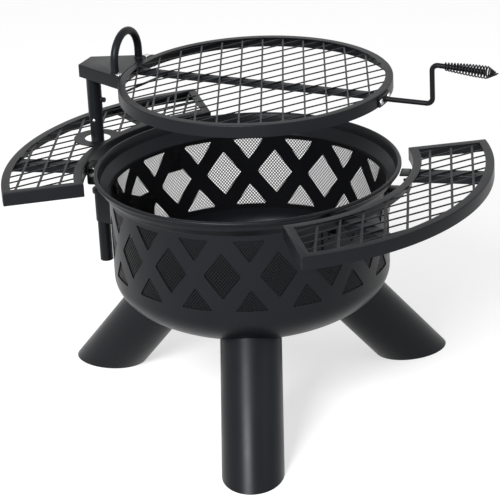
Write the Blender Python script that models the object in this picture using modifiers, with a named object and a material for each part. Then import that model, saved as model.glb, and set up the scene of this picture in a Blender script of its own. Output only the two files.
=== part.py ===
"""Fire pit with a swivel cooking grate and two mesh side shelves.

Metres, +Z up, floor at z = 0. The bowl's axis is the empty "bowl_axis", which all the rest hangs on.
The grate turns about the post, and lifts along it, so its pieces hang on empties on the post's axis.
"""

from math import asin, atan2, cos, hypot, pi, radians, sin, sqrt

import bmesh
import bpy
from mathutils import Matrix, Vector

# Gap between pieces that touch
GAP = 0.0003
# Further room under a flat head or nut on a curved sheet
SEAT_ROOM = 0.0008

# Bowl: a straight wall, a part-ellipse bottom below it and a flare with a rolled rim above it
BOWL_SHEET = 0.0016
BOWL_RADIUS = 0.277
BOWL_WALL_BOTTOM = 0.283
BOWL_WALL_HEIGHT = 0.176
BOWL_DEPTH_BELOW_WALL = 0.109
FLARE_OVERHANG = 0.0175
FLARE_HEIGHT = 0.018
RIM_OVERHANG = 0.028
RIM_ABOVE_FLARE = 0.0206
RIM_BEAD = 0.0042
BOWL_STEPS = 40
BOWL_BOTTOM_RINGS = 6
BOWL_WALL_TOP = BOWL_WALL_BOTTOM + BOWL_WALL_HEIGHT
FLARE_RADIUS = BOWL_RADIUS + FLARE_OVERHANG
FLARE_TOP = BOWL_WALL_TOP + FLARE_HEIGHT
RIM_RADIUS = BOWL_RADIUS + RIM_OVERHANG
RIM_TOP = FLARE_TOP + RIM_ABOVE_FLARE

# Cutouts in the bowl's wall: a row of triangles, one of diamonds and one of triangles
CUTOUTS_AROUND = 16
FIRST_DIAMOND = radians(-102.2)
UPPER_BELOW_WALL_TOP = 0.010
UPPER_HEIGHT = 0.0465
UPPER_WIDTH = 0.0636
DIAMOND_HEIGHT = 0.098
DIAMOND_WIDTH = 0.074
LOWER_ABOVE_WALL_BOTTOM = 0.0195
LOWER_HEIGHT = 0.0465
LOWER_WIDTH = 0.065
CUTTER_DEPTH = 0.03
UPPER_BASE = BOWL_WALL_TOP - UPPER_BELOW_WALL_TOP
LOWER_BASE = BOWL_WALL_BOTTOM + LOWER_ABOVE_WALL_BOTTOM

# Spark screen inside the cutouts
SCREEN_SHEET = 0.0008
SCREEN_MARGIN = 0.0085
SCREEN_HOLE_CLEARANCE = 0.0013

# Legs
LEG_RADIUS = 0.0604
LEG_SHEET = 0.002
LEG_TILT = 0.703
LEG_FOOT_RADIUS = 0.368
FRONT_LEG = radians(-92.9)
LEG_TOP_PLATE = 0.003
LEG_DRAIN_RADIUS = 0.004
LEG_BOLT_SPREAD = 0.030
LEG_STEPS = 18

# Side shelves: a flange on top and a wall turned down all round
SHELF_RIM_GAP = 0.022
SHELF_WIDTH = 0.160
SHELF_BELOW_RIM = 0.0011
SHELF_SPAN = radians(88.6)
LEFT_SHELF = radians(146.7)
RIGHT_SHELF = radians(-35.2)
SHELF_DEPTH = 0.026
SHELF_FLANGE = 0.0175
SHELF_SHEET = 0.0018
SHELF_ARC_STEPS = 14
SHELF_TOP = RIM_TOP - SHELF_BELOW_RIM
SHELF_INNER = RIM_RADIUS + SHELF_RIM_GAP
SHELF_OUTER = SHELF_INNER + SHELF_WIDTH

# Expanded metal on the shelves and the grate: the directions of its strands, their spacing, their
# width, and how far a strand of each direction lies from the bowl's axis or the grate's centre.
# Gaps that the border cuts to less than SMALLEST_NET_GAP, in square metres, stay closed.
NET_THICKNESS = 0.0024
NET_UNDER_FLANGE = 0.0010
NET_INSET = 0.0010
SHELF_NET_ANGLES = (radians(85), radians(29))
SHELF_NET_SPACINGS = (0.0338, 0.0320)
SHELF_NET_STRANDS = (0.0052, 0.0036)
RIGHT_NET_PHASE = (0.3945, 0.3749)
LEFT_NET_PHASE = (-0.3642, -0.3427)
GRATE_NET_ANGLES = (radians(88.2), radians(30))
GRATE_NET_SPACINGS = (0.0279, 0.0315)
GRATE_NET_STRANDS = (0.0036, 0.0030)
GRATE_NET_PHASE = (0.0126, 0.0075)
SMALLEST_NET_GAP = 0.0003

# Arms and brackets that carry the shelves
LEFT_CARRIERS = (radians(167.8), radians(122.8))
RIGHT_CARRIERS = (radians(-12.2), radians(-57.2))
CARRIER_WIDTH = 0.030
CARRIER_DEPTH = 0.018
CARRIER_SHEET = 0.0018
BRACKET_WIDTH = 0.036
BRACKET_SHEET = 0.003
BRACKET_BELOW_WALL_TOP = 0.0075
BRACKET_WALL_PLATE = 0.0515
BRACKET_BELOW_SHELF = 0.006
WALL_BOLTS_BELOW_BEND = (0.009, 0.0205)
SHELF_BOLT_BELOW_TOP = 0.023
SHELF_BOLT_TAIL = 0.006
BRACKET_BEND = BOWL_WALL_TOP - BRACKET_BELOW_WALL_TOP
SHELF_BOLT_HEIGHT = SHELF_TOP - SHELF_BOLT_BELOW_TOP

# Post and its holder on the bowl
POST_FROM_SHELF_EDGE = 0.0375
POST_AZIMUTH = radians(146.5)
POST_RADIUS = 0.0135
POST_SHEET = 0.0015
POST_BELOW_HOLDER = 0.0895
POST_BELOW_GRATE = 0.021
POST_HOLE_CLEARANCE = 0.013
POST_RING_WIDTH = 0.0225
POST_STEPS = 20
HOLDER_SHEET = 0.002
HOLDER_BELOW_WALL_TOP = 0.084
HOLDER_HEIGHT = 0.061
HOLDER_FLANGE = 0.054
HOLDER_BOLT_OFFSET = 0.045
HOLDER_BOLT_BELOW_TOP = 0.013
COLLAR_WALL = 0.0062
COLLAR_HEIGHT = 0.010
POST_DISTANCE = SHELF_INNER + POST_FROM_SHELF_EDGE
POST_HOLE_RADIUS = POST_RADIUS + POST_HOLE_CLEARANCE
POST_RING_RADIUS = POST_HOLE_RADIUS + POST_RING_WIDTH
HOLDER_TOP = BOWL_WALL_TOP - HOLDER_BELOW_WALL_TOP
HOLDER_BOTTOM = HOLDER_TOP - HOLDER_HEIGHT

# Cooking grate; its arm points from the post to the grate's centre, which is as far from the post
# as the bowl's axis is, so that the grate can be turned over the bowl
ARM_AZIMUTH = radians(-25.7)
GRATE_RADIUS = 0.2713
GRATE_ABOVE_RIM = 0.1634
GRATE_WALL = 0.024
GRATE_FLANGE = 0.0155
GRATE_SHEET = 0.0018
GRATE_STEPS = 48
GRATE_TOP = RIM_TOP + GRATE_ABOVE_RIM
GRATE_REACH = POST_DISTANCE

# Arm of the grate, with its lifting handle and two screws
ARM_SHEET = 0.002
ARM_DEPTH = 0.026
ARM_BACK_WIDTH = 0.054
ARM_FRONT_WIDTH = 0.154
ARM_GAP = 0.0006
LIFT_TUBE_RADIUS = 0.008
LIFT_SPREAD = 0.052
LIFT_FROM_RING = 0.0132
LIFT_STRAIGHT = 0.018
ARM_SCREW_SPREAD = 0.062
ARM_SCREW_FROM_RING = 0.0071
RING_EAR_WIDTH = 0.011
RING_EAR_LENGTH = 0.013

# Sleeve of the grate on the post, with room for the gap behind it, its snap button and its thumb screw
SLEEVE_SHEET = 0.0011
SLEEVE_ROOM = 0.0012
ARM_BACK = POST_RADIUS + SLEEVE_SHEET + SLEEVE_ROOM + ARM_SHEET
SLEEVE_LENGTH = 0.1172
SLEEVE_RADIUS = (POST_RADIUS + GAP) / cos(pi / POST_STEPS) + SLEEVE_SHEET
SLEEVE_BOTTOM = GRATE_TOP - ARM_SHEET - GAP - SLEEVE_LENGTH
BUTTON_RADIUS = 0.003
BUTTON_PROUD = 0.0035
BUTTON_DOME = 0.001
BUTTON_AZIMUTH = radians(-105)
LEAF_LENGTH = 0.030
LEAF_SHEET = 0.001
THUMB_SCREW_ABOVE_SLEEVE_END = 0.0385
THUMB_SCREW_RADIUS = 0.0025
THUMB_KNOB_RADIUS = 0.0052
THUMB_KNOB_LENGTH = 0.0045
THUMB_NUT_RADIUS = 0.0055
THUMB_NUT_LENGTH = 0.0035
THUMB_NUT_SUNK = 0.0005
THUMB_SCREW_HEIGHT = SLEEVE_BOTTOM + THUMB_SCREW_ABOVE_SLEEVE_END
BUTTON_HEIGHT = SLEEVE_BOTTOM - GAP - BUTTON_RADIUS

# Crossbar and brace under the grate
CROSSBAR_WIDTH = 0.018
CROSSBAR_DEPTH = 0.011
CROSSBAR_SHEET = 0.002
BRACE_WIDTH = 0.005
BRACE_THICKNESS = 0.003
BRACE_ANGLE = radians(76)
BRACE_FROM_RING = 0.0813

# Spring-grip handle on the far side of the grate
HANDLE_PLATE_WIDTH = 0.052
HANDLE_PLATE_HEIGHT = 0.021
HANDLE_PLATE_SHEET = 0.0025
HANDLE_SCREW_SPREAD = 0.018
HANDLE_BELOW_GRATE = 0.0145
ROD_RADIUS = 0.005
ROD_RISER_FROM_RING = 0.1005
ROD_RISE = 0.0785
ROD_BEND = 0.012
ROD_DROOP = radians(2.5)
GRIP_WIRE_RADIUS = 0.0011
GRIP_START = 0.023
GRIP_LENGTH = 0.109
GRIP_TURNS = 17
GRIP_CONE_TURNS = 3
GRIP_POINTS = 8
GRIP_END_RADIUS = 0.0115
HANDLE_HEIGHT = GRATE_TOP - HANDLE_BELOW_GRATE
ROD_RISER = GRATE_REACH + GRATE_RADIUS + ROD_RISER_FROM_RING
ROD_GRIP_HEIGHT = HANDLE_HEIGHT + ROD_RISE

# Fasteners
BOLT_RADIUS = 0.003
BOLT_CLEARANCE = 0.0009
HEAD_RADIUS = 0.0062
HEAD_HEIGHT = 0.004
NUT_RADIUS = 0.0060
NUT_HEIGHT = 0.005
SCREW_STEPS = 8
HEX_STEPS = 6

POWDER_COAT = "powder_coat"
WIRE_BLACK = "black_wire"
BARE_STEEL = "zinc_steel"
MATERIALS = {
    POWDER_COAT: ((0.045, 0.046, 0.048, 1), 0.45, 0.3),
    WIRE_BLACK: ((0.015, 0.015, 0.016, 1), 0.40, 0.5),
    BARE_STEEL: ((0.55, 0.56, 0.57, 1), 0.35, 1.0),
}


def clear_scene():
    for obj in list(bpy.data.objects):
        bpy.data.objects.remove(obj, do_unlink=True)


def new_collection(name):
    collection = bpy.data.collections.new(name)
    bpy.context.scene.collection.children.link(collection)
    return collection


def make_material(name):
    colour, roughness, metallic = MATERIALS[name]
    material = bpy.data.materials.new(name)
    material.use_nodes = True
    shader = material.node_tree.nodes["Principled BSDF"]
    shader.inputs["Base Color"].default_value = colour
    shader.inputs["Roughness"].default_value = roughness
    shader.inputs["Metallic"].default_value = metallic
    return material


def new_empty(name, location, parent=None, turn=0.0):
    empty = bpy.data.objects.new(name, None)
    empty.location = location
    empty.rotation_euler = (0, 0, turn)
    empty.parent = parent
    parts.objects.link(empty)
    return empty


def bake(obj):
    """Replace an object by a mesh of its evaluated shape, with doubles merged and normals outwards."""
    bpy.context.view_layer.update()
    graph = bpy.context.evaluated_depsgraph_get()
    mesh = bpy.data.meshes.new_from_object(obj.evaluated_get(graph))
    name = obj.name
    bpy.data.objects.remove(obj, do_unlink=True)
    shape = bmesh.new()
    shape.from_mesh(mesh)
    bmesh.ops.remove_doubles(shape, verts=shape.verts, dist=0.000005)
    bmesh.ops.recalc_face_normals(shape, faces=shape.faces)
    shape.to_mesh(mesh)
    shape.free()
    return bpy.data.objects.new(name, mesh)


def finish(obj, parent, material, location=(0, 0, 0), rotation=(0, 0, 0), smooth=35):
    """Link a finished piece to the parts, hang it on its parent and give it its material."""
    parts.objects.link(obj)
    obj.parent = parent
    obj.location = location
    obj.rotation_euler = rotation
    obj.data.materials.clear()
    obj.data.materials.append(materials[material])
    obj.data.shade_smooth()
    obj.data.set_sharp_from_angle(angle=radians(smooth))
    return obj


def as_cutter(obj, parent, location=(0, 0, 0), rotation=(0, 0, 0)):
    cutters.objects.link(obj)
    obj.parent = parent
    obj.location = location
    obj.rotation_euler = rotation
    obj.hide_render = True
    obj.display_type = "WIRE"
    return obj


def boolean(obj, other, operation="DIFFERENCE", solver="EXACT"):
    modifier = obj.modifiers.new(other.name, "BOOLEAN")
    modifier.object = other
    modifier.operation = operation
    modifier.solver = solver


def flat_solid(name, outline, thickness, holes=()):
    """A flat plate lying on z = 0, from an outline in x and y and the outlines of its holes."""
    curve = bpy.data.curves.new(name, "CURVE")
    curve.dimensions = "2D"
    curve.fill_mode = "BOTH"
    curve.extrude = thickness / 2
    for points in (outline, *holes):
        spline = curve.splines.new("POLY")
        spline.points.add(len(points) - 1)
        for point, (x, y) in zip(spline.points, points):
            point.co = (x, y, 0, 1)
        spline.use_cyclic_u = True
    obj = bpy.data.objects.new(name, curve)
    bpy.context.scene.collection.objects.link(obj)
    solid = bake(obj)
    solid.data.transform(Matrix.Translation((0, 0, thickness / 2)))
    return solid


def turned_solid(name, profile, steps, closed=True):
    """A turned piece from a profile of (radius, height), run down its outer side."""
    mesh = bpy.data.meshes.new(name)
    edges = [(i, i + 1) for i in range(len(profile) - 1)]
    if closed:
        edges.append((len(profile) - 1, 0))
    mesh.from_pydata([(r, 0, z) for r, z in profile], edges, [])
    obj = bpy.data.objects.new(name, mesh)
    bpy.context.scene.collection.objects.link(obj)
    screw = obj.modifiers.new("turn", "SCREW")
    screw.steps = steps
    screw.render_steps = steps
    screw.use_merge_vertices = True
    screw.merge_threshold = 0.00001
    return bake(obj)


def tube_solid(name, points, radius, resolution=2):
    """A round bar along a list of points, with closed ends."""
    curve = bpy.data.curves.new(name, "CURVE")
    curve.dimensions = "3D"
    curve.bevel_depth = radius
    curve.bevel_resolution = resolution
    curve.use_fill_caps = True
    spline = curve.splines.new("POLY")
    spline.points.add(len(points) - 1)
    for point, place in zip(spline.points, points):
        point.co = (*place, 1)
    obj = bpy.data.objects.new(name, curve)
    bpy.context.scene.collection.objects.link(obj)
    return bake(obj)


def box_solid(name, low, high):
    shape = bmesh.new()
    bmesh.ops.create_cube(shape, size=1)
    size = [h - l for l, h in zip(low, high)]
    middle = [(h + l) / 2 for l, h in zip(low, high)]
    bmesh.ops.scale(shape, vec=size, verts=shape.verts)
    bmesh.ops.translate(shape, vec=middle, verts=shape.verts)
    mesh = bpy.data.meshes.new(name)
    shape.to_mesh(mesh)
    shape.free()
    return bpy.data.objects.new(name, mesh)


def rod_solid(name, radius, start, end, steps):
    """A straight cylinder between two points."""
    axis = Vector(end) - Vector(start)
    turn = axis.to_track_quat("Z", "Y").to_matrix().to_4x4()
    place = Matrix.Translation((Vector(start) + Vector(end)) / 2) @ turn
    shape = bmesh.new()
    bmesh.ops.create_cone(
        shape, cap_ends=True, segments=steps, radius1=radius, radius2=radius, depth=axis.length, matrix=place
    )
    mesh = bpy.data.meshes.new(name)
    shape.to_mesh(mesh)
    shape.free()
    return bpy.data.objects.new(name, mesh)


def joined(name, pieces):
    """One mesh of several separate closed pieces, for use as a cutter."""
    shape = bmesh.new()
    for piece in pieces:
        shape.from_mesh(piece.data)
    mesh = bpy.data.meshes.new(name)
    shape.to_mesh(mesh)
    shape.free()
    for piece in pieces:
        bpy.data.objects.remove(piece, do_unlink=True)
    return bpy.data.objects.new(name, mesh)


def arc(centre, radius, start, end, steps):
    """Points along an arc, both ends included."""
    turns = [start + (end - start) * i / steps for i in range(steps + 1)]
    return [(centre[0] + radius * cos(a), centre[1] + radius * sin(a)) for a in turns]


def polar(radius, azimuth, height=0.0):
    return Vector((radius * cos(azimuth), radius * sin(azimuth), height))


def bowl_bottom(t, offset=0.0):
    """A point of the bowl's outer surface below the wall: t is 0 at the wall and pi/2 at the axis."""
    radius = (BOWL_RADIUS + offset) * cos(t)
    return radius, BOWL_WALL_BOTTOM - (BOWL_DEPTH_BELOW_WALL + offset) * sin(t)


def bowl_bulk(name, offset):
    """The bowl's outer shape as one solid, moved outwards by offset."""
    count = BOWL_BOTTOM_RINGS
    profile = [(0, BOWL_WALL_TOP), (BOWL_RADIUS + offset, BOWL_WALL_TOP)]
    profile += [bowl_bottom(i * pi / 2 / count, offset) for i in range(count)]
    profile.append((0, bowl_bottom(pi / 2, offset)[1]))
    return turned_solid(name, profile, BOWL_STEPS, closed=False)


def cutout_outlines():
    """The three cutouts of one repeat, as outlines of (sideways, height), with their share of the pitch."""
    middle = (UPPER_BASE + LOWER_BASE) / 2
    upper = [(-UPPER_WIDTH / 2, UPPER_BASE), (0, UPPER_BASE - UPPER_HEIGHT), (UPPER_WIDTH / 2, UPPER_BASE)]
    diamond = [
        (0, middle - DIAMOND_HEIGHT / 2),
        (DIAMOND_WIDTH / 2, middle),
        (0, middle + DIAMOND_HEIGHT / 2),
        (-DIAMOND_WIDTH / 2, middle),
    ]
    lower = [(-LOWER_WIDTH / 2, LOWER_BASE), (LOWER_WIDTH / 2, LOWER_BASE), (0, LOWER_BASE + LOWER_HEIGHT)]
    return [(upper, 0.5), (diamond, 0.0), (lower, 0.5)]


def cutout_cutter():
    """All the cutouts' prisms, set around the bowl's wall."""
    pieces = []
    for outline, share in cutout_outlines():
        for i in range(CUTOUTS_AROUND):
            azimuth = FIRST_DIAMOND + (i + share) * 2 * pi / CUTOUTS_AROUND
            prism = flat_solid("prism", outline, CUTTER_DEPTH)
            upright = Matrix.Rotation(azimuth + pi / 2, 4, "Z") @ Matrix.Rotation(pi / 2, 4, "X")
            inner_end = polar(BOWL_RADIUS - CUTTER_DEPTH / 2, azimuth)
            prism.data.transform(Matrix.Translation(inner_end) @ upright)
            pieces.append(prism)
    return joined("bowl_cutouts", pieces)


def bowl_profile():
    """The bowl's section: up its inner side, over the rolled rim and down its outer side to the axis."""
    sheet = BOWL_SHEET
    count = BOWL_BOTTOM_RINGS
    inner = [(0, bowl_bottom(pi / 2, -sheet)[1])]
    inner += [bowl_bottom((count - i) * pi / 2 / count, -sheet) for i in range(1, count + 1)]
    inner.append((BOWL_RADIUS - sheet, BOWL_WALL_TOP + sheet / 2))
    inner.append((FLARE_RADIUS - sheet, FLARE_TOP + sheet / 2))
    bead_centre = (RIM_RADIUS - RIM_BEAD, RIM_TOP - RIM_BEAD)
    inner.append((FLARE_RADIUS, bead_centre[1]))
    bead = arc(bead_centre, RIM_BEAD, radians(150), radians(-60), 3)
    outer = [(FLARE_RADIUS + sheet, bead_centre[1] - RIM_BEAD)]
    outer.append((FLARE_RADIUS, FLARE_TOP - sheet / 2))
    outer.append((BOWL_RADIUS, BOWL_WALL_TOP))
    outer += [bowl_bottom(i * pi / 2 / count) for i in range(count)]
    outer.append((0, bowl_bottom(pi / 2)[1]))
    return inner + bead + outer


def leg_seat_height():
    """The height at which a leg's axis meets the bowl's underside."""
    lean = sin(LEG_TILT) / cos(LEG_TILT)
    wide = BOWL_RADIUS**2
    deep = BOWL_DEPTH_BELOW_WALL**2
    a = lean**2 / wide + 1 / deep
    b = LEG_FOOT_RADIUS * lean / wide + BOWL_WALL_BOTTOM / deep
    c = LEG_FOOT_RADIUS**2 / wide + BOWL_WALL_BOTTOM**2 / deep - 1
    return (b - sqrt(b**2 - a * c)) / a


def leg_bolt_places(leg):
    """Points and outward directions, on the bowl's underside, of the two bolts that hold a leg."""
    azimuth = FRONT_LEG + leg * 2 * pi / 3
    seat = LEG_FOOT_RADIUS - leg_seat_height() * sin(LEG_TILT) / cos(LEG_TILT)
    places = []
    for side in (-1, 1):
        radius = hypot(seat, LEG_BOLT_SPREAD)
        around = azimuth + side * atan2(LEG_BOLT_SPREAD, seat)
        t = asin(sqrt(1 - (radius / BOWL_RADIUS) ** 2))
        height = bowl_bottom(t)[1]
        steep = (BOWL_WALL_BOTTOM - height) / BOWL_DEPTH_BELOW_WALL**2
        slope = Vector((radius / BOWL_RADIUS**2, 0, -steep)).normalized()
        normal = Vector((slope.x * cos(around), slope.x * sin(around), slope.z))
        places.append((polar(radius, around, height), normal))
    return places


def bolt(name, point, direction, parent, grip, head_steps=HEX_STEPS, tail=0.0, slot=WIRE_BLACK):
    """A bolt with its nut: the head's seat is at point, and the shank runs along direction through grip."""
    profile = [
        (0, HEAD_HEIGHT + GAP),
        (HEAD_RADIUS, HEAD_HEIGHT + GAP),
        (HEAD_RADIUS, GAP),
        (BOLT_RADIUS, GAP),
        (BOLT_RADIUS, -grip - GAP),
        (NUT_RADIUS, -grip - GAP),
        (NUT_RADIUS, -grip - GAP - NUT_HEIGHT),
    ]
    if tail:
        profile.append((BOLT_RADIUS, -grip - GAP - NUT_HEIGHT))
        profile.append((BOLT_RADIUS, -grip - GAP - NUT_HEIGHT - tail))
    profile.append((0, -grip - GAP - NUT_HEIGHT - tail))
    obj = turned_solid(name, profile, head_steps, closed=False)
    turn = Vector(direction).to_track_quat("-Z", "Y").to_euler()
    return finish(obj, parent, slot, point, turn)


def bolt_hole(point, direction, length=0.03):
    """A cutter for a bolt's hole, through point along direction."""
    middle = Vector(point)
    reach = Vector(direction).normalized() * length / 2
    return rod_solid("hole", BOLT_RADIUS + BOLT_CLEARANCE, middle - reach, middle + reach, HEX_STEPS)


def bracket_bolt_places(azimuth):
    """Points on the bowl's wall and outward directions of a shelf bracket's two wall bolts."""
    heights = [BRACKET_BEND - below for below in WALL_BOLTS_BELOW_BEND]
    return [(polar(BOWL_RADIUS, azimuth, z), polar(1, azimuth)) for z in heights]


def holder_bolt_places():
    places = []
    for side in (-1, 1):
        azimuth = POST_AZIMUTH + side * asin(HOLDER_BOLT_OFFSET / BOWL_RADIUS)
        places.append((polar(BOWL_RADIUS, azimuth, HOLDER_TOP - HOLDER_BOLT_BELOW_TOP), polar(1, azimuth)))
    return places


def make_bowl(root):
    bowl = finish(turned_solid("fire_bowl", bowl_profile(), BOWL_STEPS, closed=False), root, POWDER_COAT)
    boolean(bowl, as_cutter(cutout_cutter(), root))
    holes = [bolt_hole(*place) for leg in range(3) for place in leg_bolt_places(leg)]
    for azimuth in LEFT_CARRIERS + RIGHT_CARRIERS:
        holes += [bolt_hole(*place) for place in bracket_bolt_places(azimuth)]
    holes += [bolt_hole(*place) for place in holder_bolt_places()]
    boolean(bowl, as_cutter(joined("bowl_bolt_holes", holes), root))


def make_spark_screen(root):
    outer = BOWL_RADIUS - BOWL_SHEET - GAP
    inner = outer - SCREEN_SHEET
    profile = pipe_profile(inner, outer, LOWER_BASE - SCREEN_MARGIN, UPPER_BASE + SCREEN_MARGIN)
    screen = finish(turned_solid("spark_screen", profile, BOWL_STEPS), root, WIRE_BLACK)
    inside = NUT_RADIUS + SCREEN_HOLE_CLEARANCE
    holes = []
    places = [place for azimuth in LEFT_CARRIERS + RIGHT_CARRIERS for place in bracket_bolt_places(azimuth)]
    for point, direction in places + holder_bolt_places():
        reach = direction * CUTTER_DEPTH / 2
        holes.append(rod_solid("hole", inside, point - reach, point + reach, HEX_STEPS))
    for i, hole in enumerate(holes):
        boolean(screen, as_cutter(hole, root))
        hole.name = f"screen_hole_{i + 1}"


def make_leg(name, leg, root):
    """A leg tube from the floor to the bowl's underside, with a plate at each end and a drain hole."""
    azimuth = FRONT_LEG + leg * 2 * pi / 3
    foot = polar(LEG_FOOT_RADIUS, azimuth)
    run = Vector((-cos(azimuth) * sin(LEG_TILT), -sin(azimuth) * sin(LEG_TILT), cos(LEG_TILT)))
    low = foot - run * 2 * LEG_RADIUS
    high = foot + run * (leg_seat_height() / cos(LEG_TILT) + 1.2 * LEG_RADIUS)
    tube = finish(rod_solid(name, LEG_RADIUS, low, high, LEG_STEPS), root, POWDER_COAT)
    boolean(tube, leg_floor)
    boolean(tube, leg_top)
    cavity = rod_solid(f"{name}_cavity", LEG_RADIUS - LEG_SHEET, low, high, LEG_STEPS)
    as_cutter(cavity, root)
    boolean(cavity, leg_floor_inside)
    boolean(cavity, leg_top_inside)
    boolean(tube, cavity)
    holes = [bolt_hole(*place) for place in leg_bolt_places(leg)]
    drain_reach = Vector((0, 0, 2 * LEG_SHEET))
    holes.append(rod_solid("drain", LEG_DRAIN_RADIUS, foot - drain_reach, foot + drain_reach, SCREW_STEPS))
    boolean(tube, as_cutter(joined(f"{name}_holes", holes), root))
    for i, (point, normal) in enumerate(leg_bolt_places(leg)):
        inside = point - normal * (BOWL_SHEET + SEAT_ROOM)
        grip = BOWL_SHEET + SEAT_ROOM + LEG_TOP_PLATE + 2 * GAP
        bolt(f"{name}_bolt_{i + 1}", inside, normal, root, grip)


def sector(inner, outer, centre, inset, steps=SHELF_ARC_STEPS):
    """The outline of a shelf, moved inwards by inset on every side."""
    half = SHELF_SPAN / 2
    r_out = outer - inset
    r_in = inner + inset
    out_half = half - asin(inset / r_out)
    in_half = half - asin(inset / r_in)
    outline = arc((0, 0), r_out, centre - out_half, centre + out_half, steps)
    return outline + arc((0, 0), r_in, centre + in_half, centre - in_half, steps)


def shelf_bolt_places(azimuths):
    """Points on the outside of a shelf's inner wall, and directions towards the bowl."""
    return [(polar(SHELF_INNER, azimuth, SHELF_BOLT_HEIGHT), polar(-1, azimuth)) for azimuth in azimuths]


def make_shelf_frame(name, centre, carriers, root, post_ring):
    """A shelf's frame: a top flange and a wall turned down all round, from one sheet."""
    frame = flat_solid(name, sector(SHELF_INNER, SHELF_OUTER, centre, 0), SHELF_DEPTH)
    finish(frame, root, POWDER_COAT, (0, 0, SHELF_TOP - SHELF_DEPTH))
    under = flat_solid(f"{name}_under", sector(SHELF_INNER, SHELF_OUTER, centre, SHELF_SHEET), SHELF_DEPTH)
    as_cutter(under, root, (0, 0, SHELF_TOP - SHELF_SHEET - SHELF_DEPTH))
    boolean(frame, under, solver="MANIFOLD")
    window = flat_solid(f"{name}_window", sector(SHELF_INNER, SHELF_OUTER, centre, SHELF_FLANGE), SHELF_DEPTH)
    as_cutter(window, root, (0, 0, SHELF_TOP - SHELF_DEPTH / 2))
    if post_ring:
        middle = polar(POST_DISTANCE, POST_AZIMUTH)
        low = middle + Vector((0, 0, SHELF_TOP - SHELF_DEPTH))
        high = middle + Vector((0, 0, SHELF_TOP + SHELF_DEPTH))
        ring = as_cutter(rod_solid(f"{name}_ring", POST_RING_RADIUS, low, high, POST_STEPS), root)
        boolean(window, ring, solver="MANIFOLD")
        hole = as_cutter(rod_solid(f"{name}_hole", POST_HOLE_RADIUS, low, high, POST_STEPS), root)
    boolean(frame, window, solver="MANIFOLD")
    if post_ring:
        boolean(frame, hole, solver="MANIFOLD")
    holes = [bolt_hole(*place) for place in shelf_bolt_places(carriers)]
    boolean(frame, as_cutter(joined(f"{name}_bolt_holes", holes), root), solver="MANIFOLD")


def cut_by_line(polygon, point, inwards):
    """The part of a convex polygon on the inner side of a line."""
    kept = []
    for i in range(len(polygon)):
        a = Vector(polygon[i - 1])
        b = Vector(polygon[i])
        side_a = (a - point).dot(inwards)
        side_b = (b - point).dot(inwards)
        if (side_a < 0) != (side_b < 0):
            kept.append(tuple(a + (b - a) * side_a / (side_a - side_b)))
        if side_b >= 0:
            kept.append(tuple(b))
    return kept


def polygon_area(polygon):
    return abs(sum(a[0] * b[1] - a[1] * b[0] for a, b in zip(polygon, polygon[1:] + polygon[:1]))) / 2


def net_gaps(angles, spacings, strands, phase, reach, lines):
    """The gaps of expanded metal: parallelograms between two sets of strands, cut by the lines of the border.

    lines gives, for a gap's middle, the border lines near it as (point, inward direction).
    """
    first = Vector((sin(angles[0]), -cos(angles[0])))
    second = Vector((sin(angles[1]), -cos(angles[1])))
    scale = first.x * second.y - first.y * second.x
    gaps = []
    count = int(reach / min(spacings)) + 2
    for i in range(-count, count):
        for j in range(-count, count):
            corners = []
            for di, dj in ((0, 0), (1, 0), (1, 1), (0, 1)):
                a = phase[0] + (i + di) * spacings[0] + (0.5 - di) * strands[0]
                b = phase[1] + (j + dj) * spacings[1] + (0.5 - dj) * strands[1]
                corners.append(((a * second.y - b * first.y) / scale, (b * first.x - a * second.x) / scale))
            middle = sum((Vector(corner) for corner in corners), Vector((0, 0))) / 4
            if middle.length > reach:
                continue
            for point, inwards in lines(middle):
                corners = cut_by_line(corners, point, inwards) if corners else []
            if len(corners) > 2 and polygon_area(corners) > SMALLEST_NET_GAP:
                gaps.append(corners)
    return gaps


def make_shelf_net(name, centre, phase, root, post_ring):
    """The expanded metal under a shelf's flange."""
    inset = SHELF_SHEET + NET_INSET
    border = SHELF_FLANGE - NET_UNDER_FLANGE
    half = SHELF_SPAN / 2

    def lines(middle):
        outwards = middle.normalized()
        left = Vector((cos(centre + half), sin(centre + half)))
        right = Vector((cos(centre - half), sin(centre - half)))
        left_in = Vector((left.y, -left.x))
        right_in = Vector((-right.y, right.x))
        sides = [
            (outwards * (SHELF_OUTER - border), -outwards),
            (outwards * (SHELF_INNER + border), outwards),
            (left_in * border, left_in),
            (right_in * border, right_in),
        ]
        if post_ring:
            hub = polar(POST_DISTANCE, POST_AZIMUTH).xy
            away = (middle - hub).normalized()
            sides.append((hub + away * (POST_RING_RADIUS - NET_INSET), away))
        return sides

    gaps = net_gaps(SHELF_NET_ANGLES, SHELF_NET_SPACINGS, SHELF_NET_STRANDS, phase, SHELF_OUTER, lines)
    plate = flat_solid(name, sector(SHELF_INNER, SHELF_OUTER, centre, inset), NET_THICKNESS, gaps)
    top = SHELF_TOP - SHELF_SHEET - GAP
    finish(plate, root, POWDER_COAT, (0, 0, top - NET_THICKNESS))
    if post_ring:
        hub = polar(POST_DISTANCE, POST_AZIMUTH)
        low = hub + Vector((0, 0, top - 2 * NET_THICKNESS))
        high = hub + Vector((0, 0, top + NET_THICKNESS))
        radius = (POST_HOLE_RADIUS + POST_RING_RADIUS) / 2
        boolean(plate, as_cutter(rod_solid(f"{name}_hole", radius, low, high, POST_STEPS), root))


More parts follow.
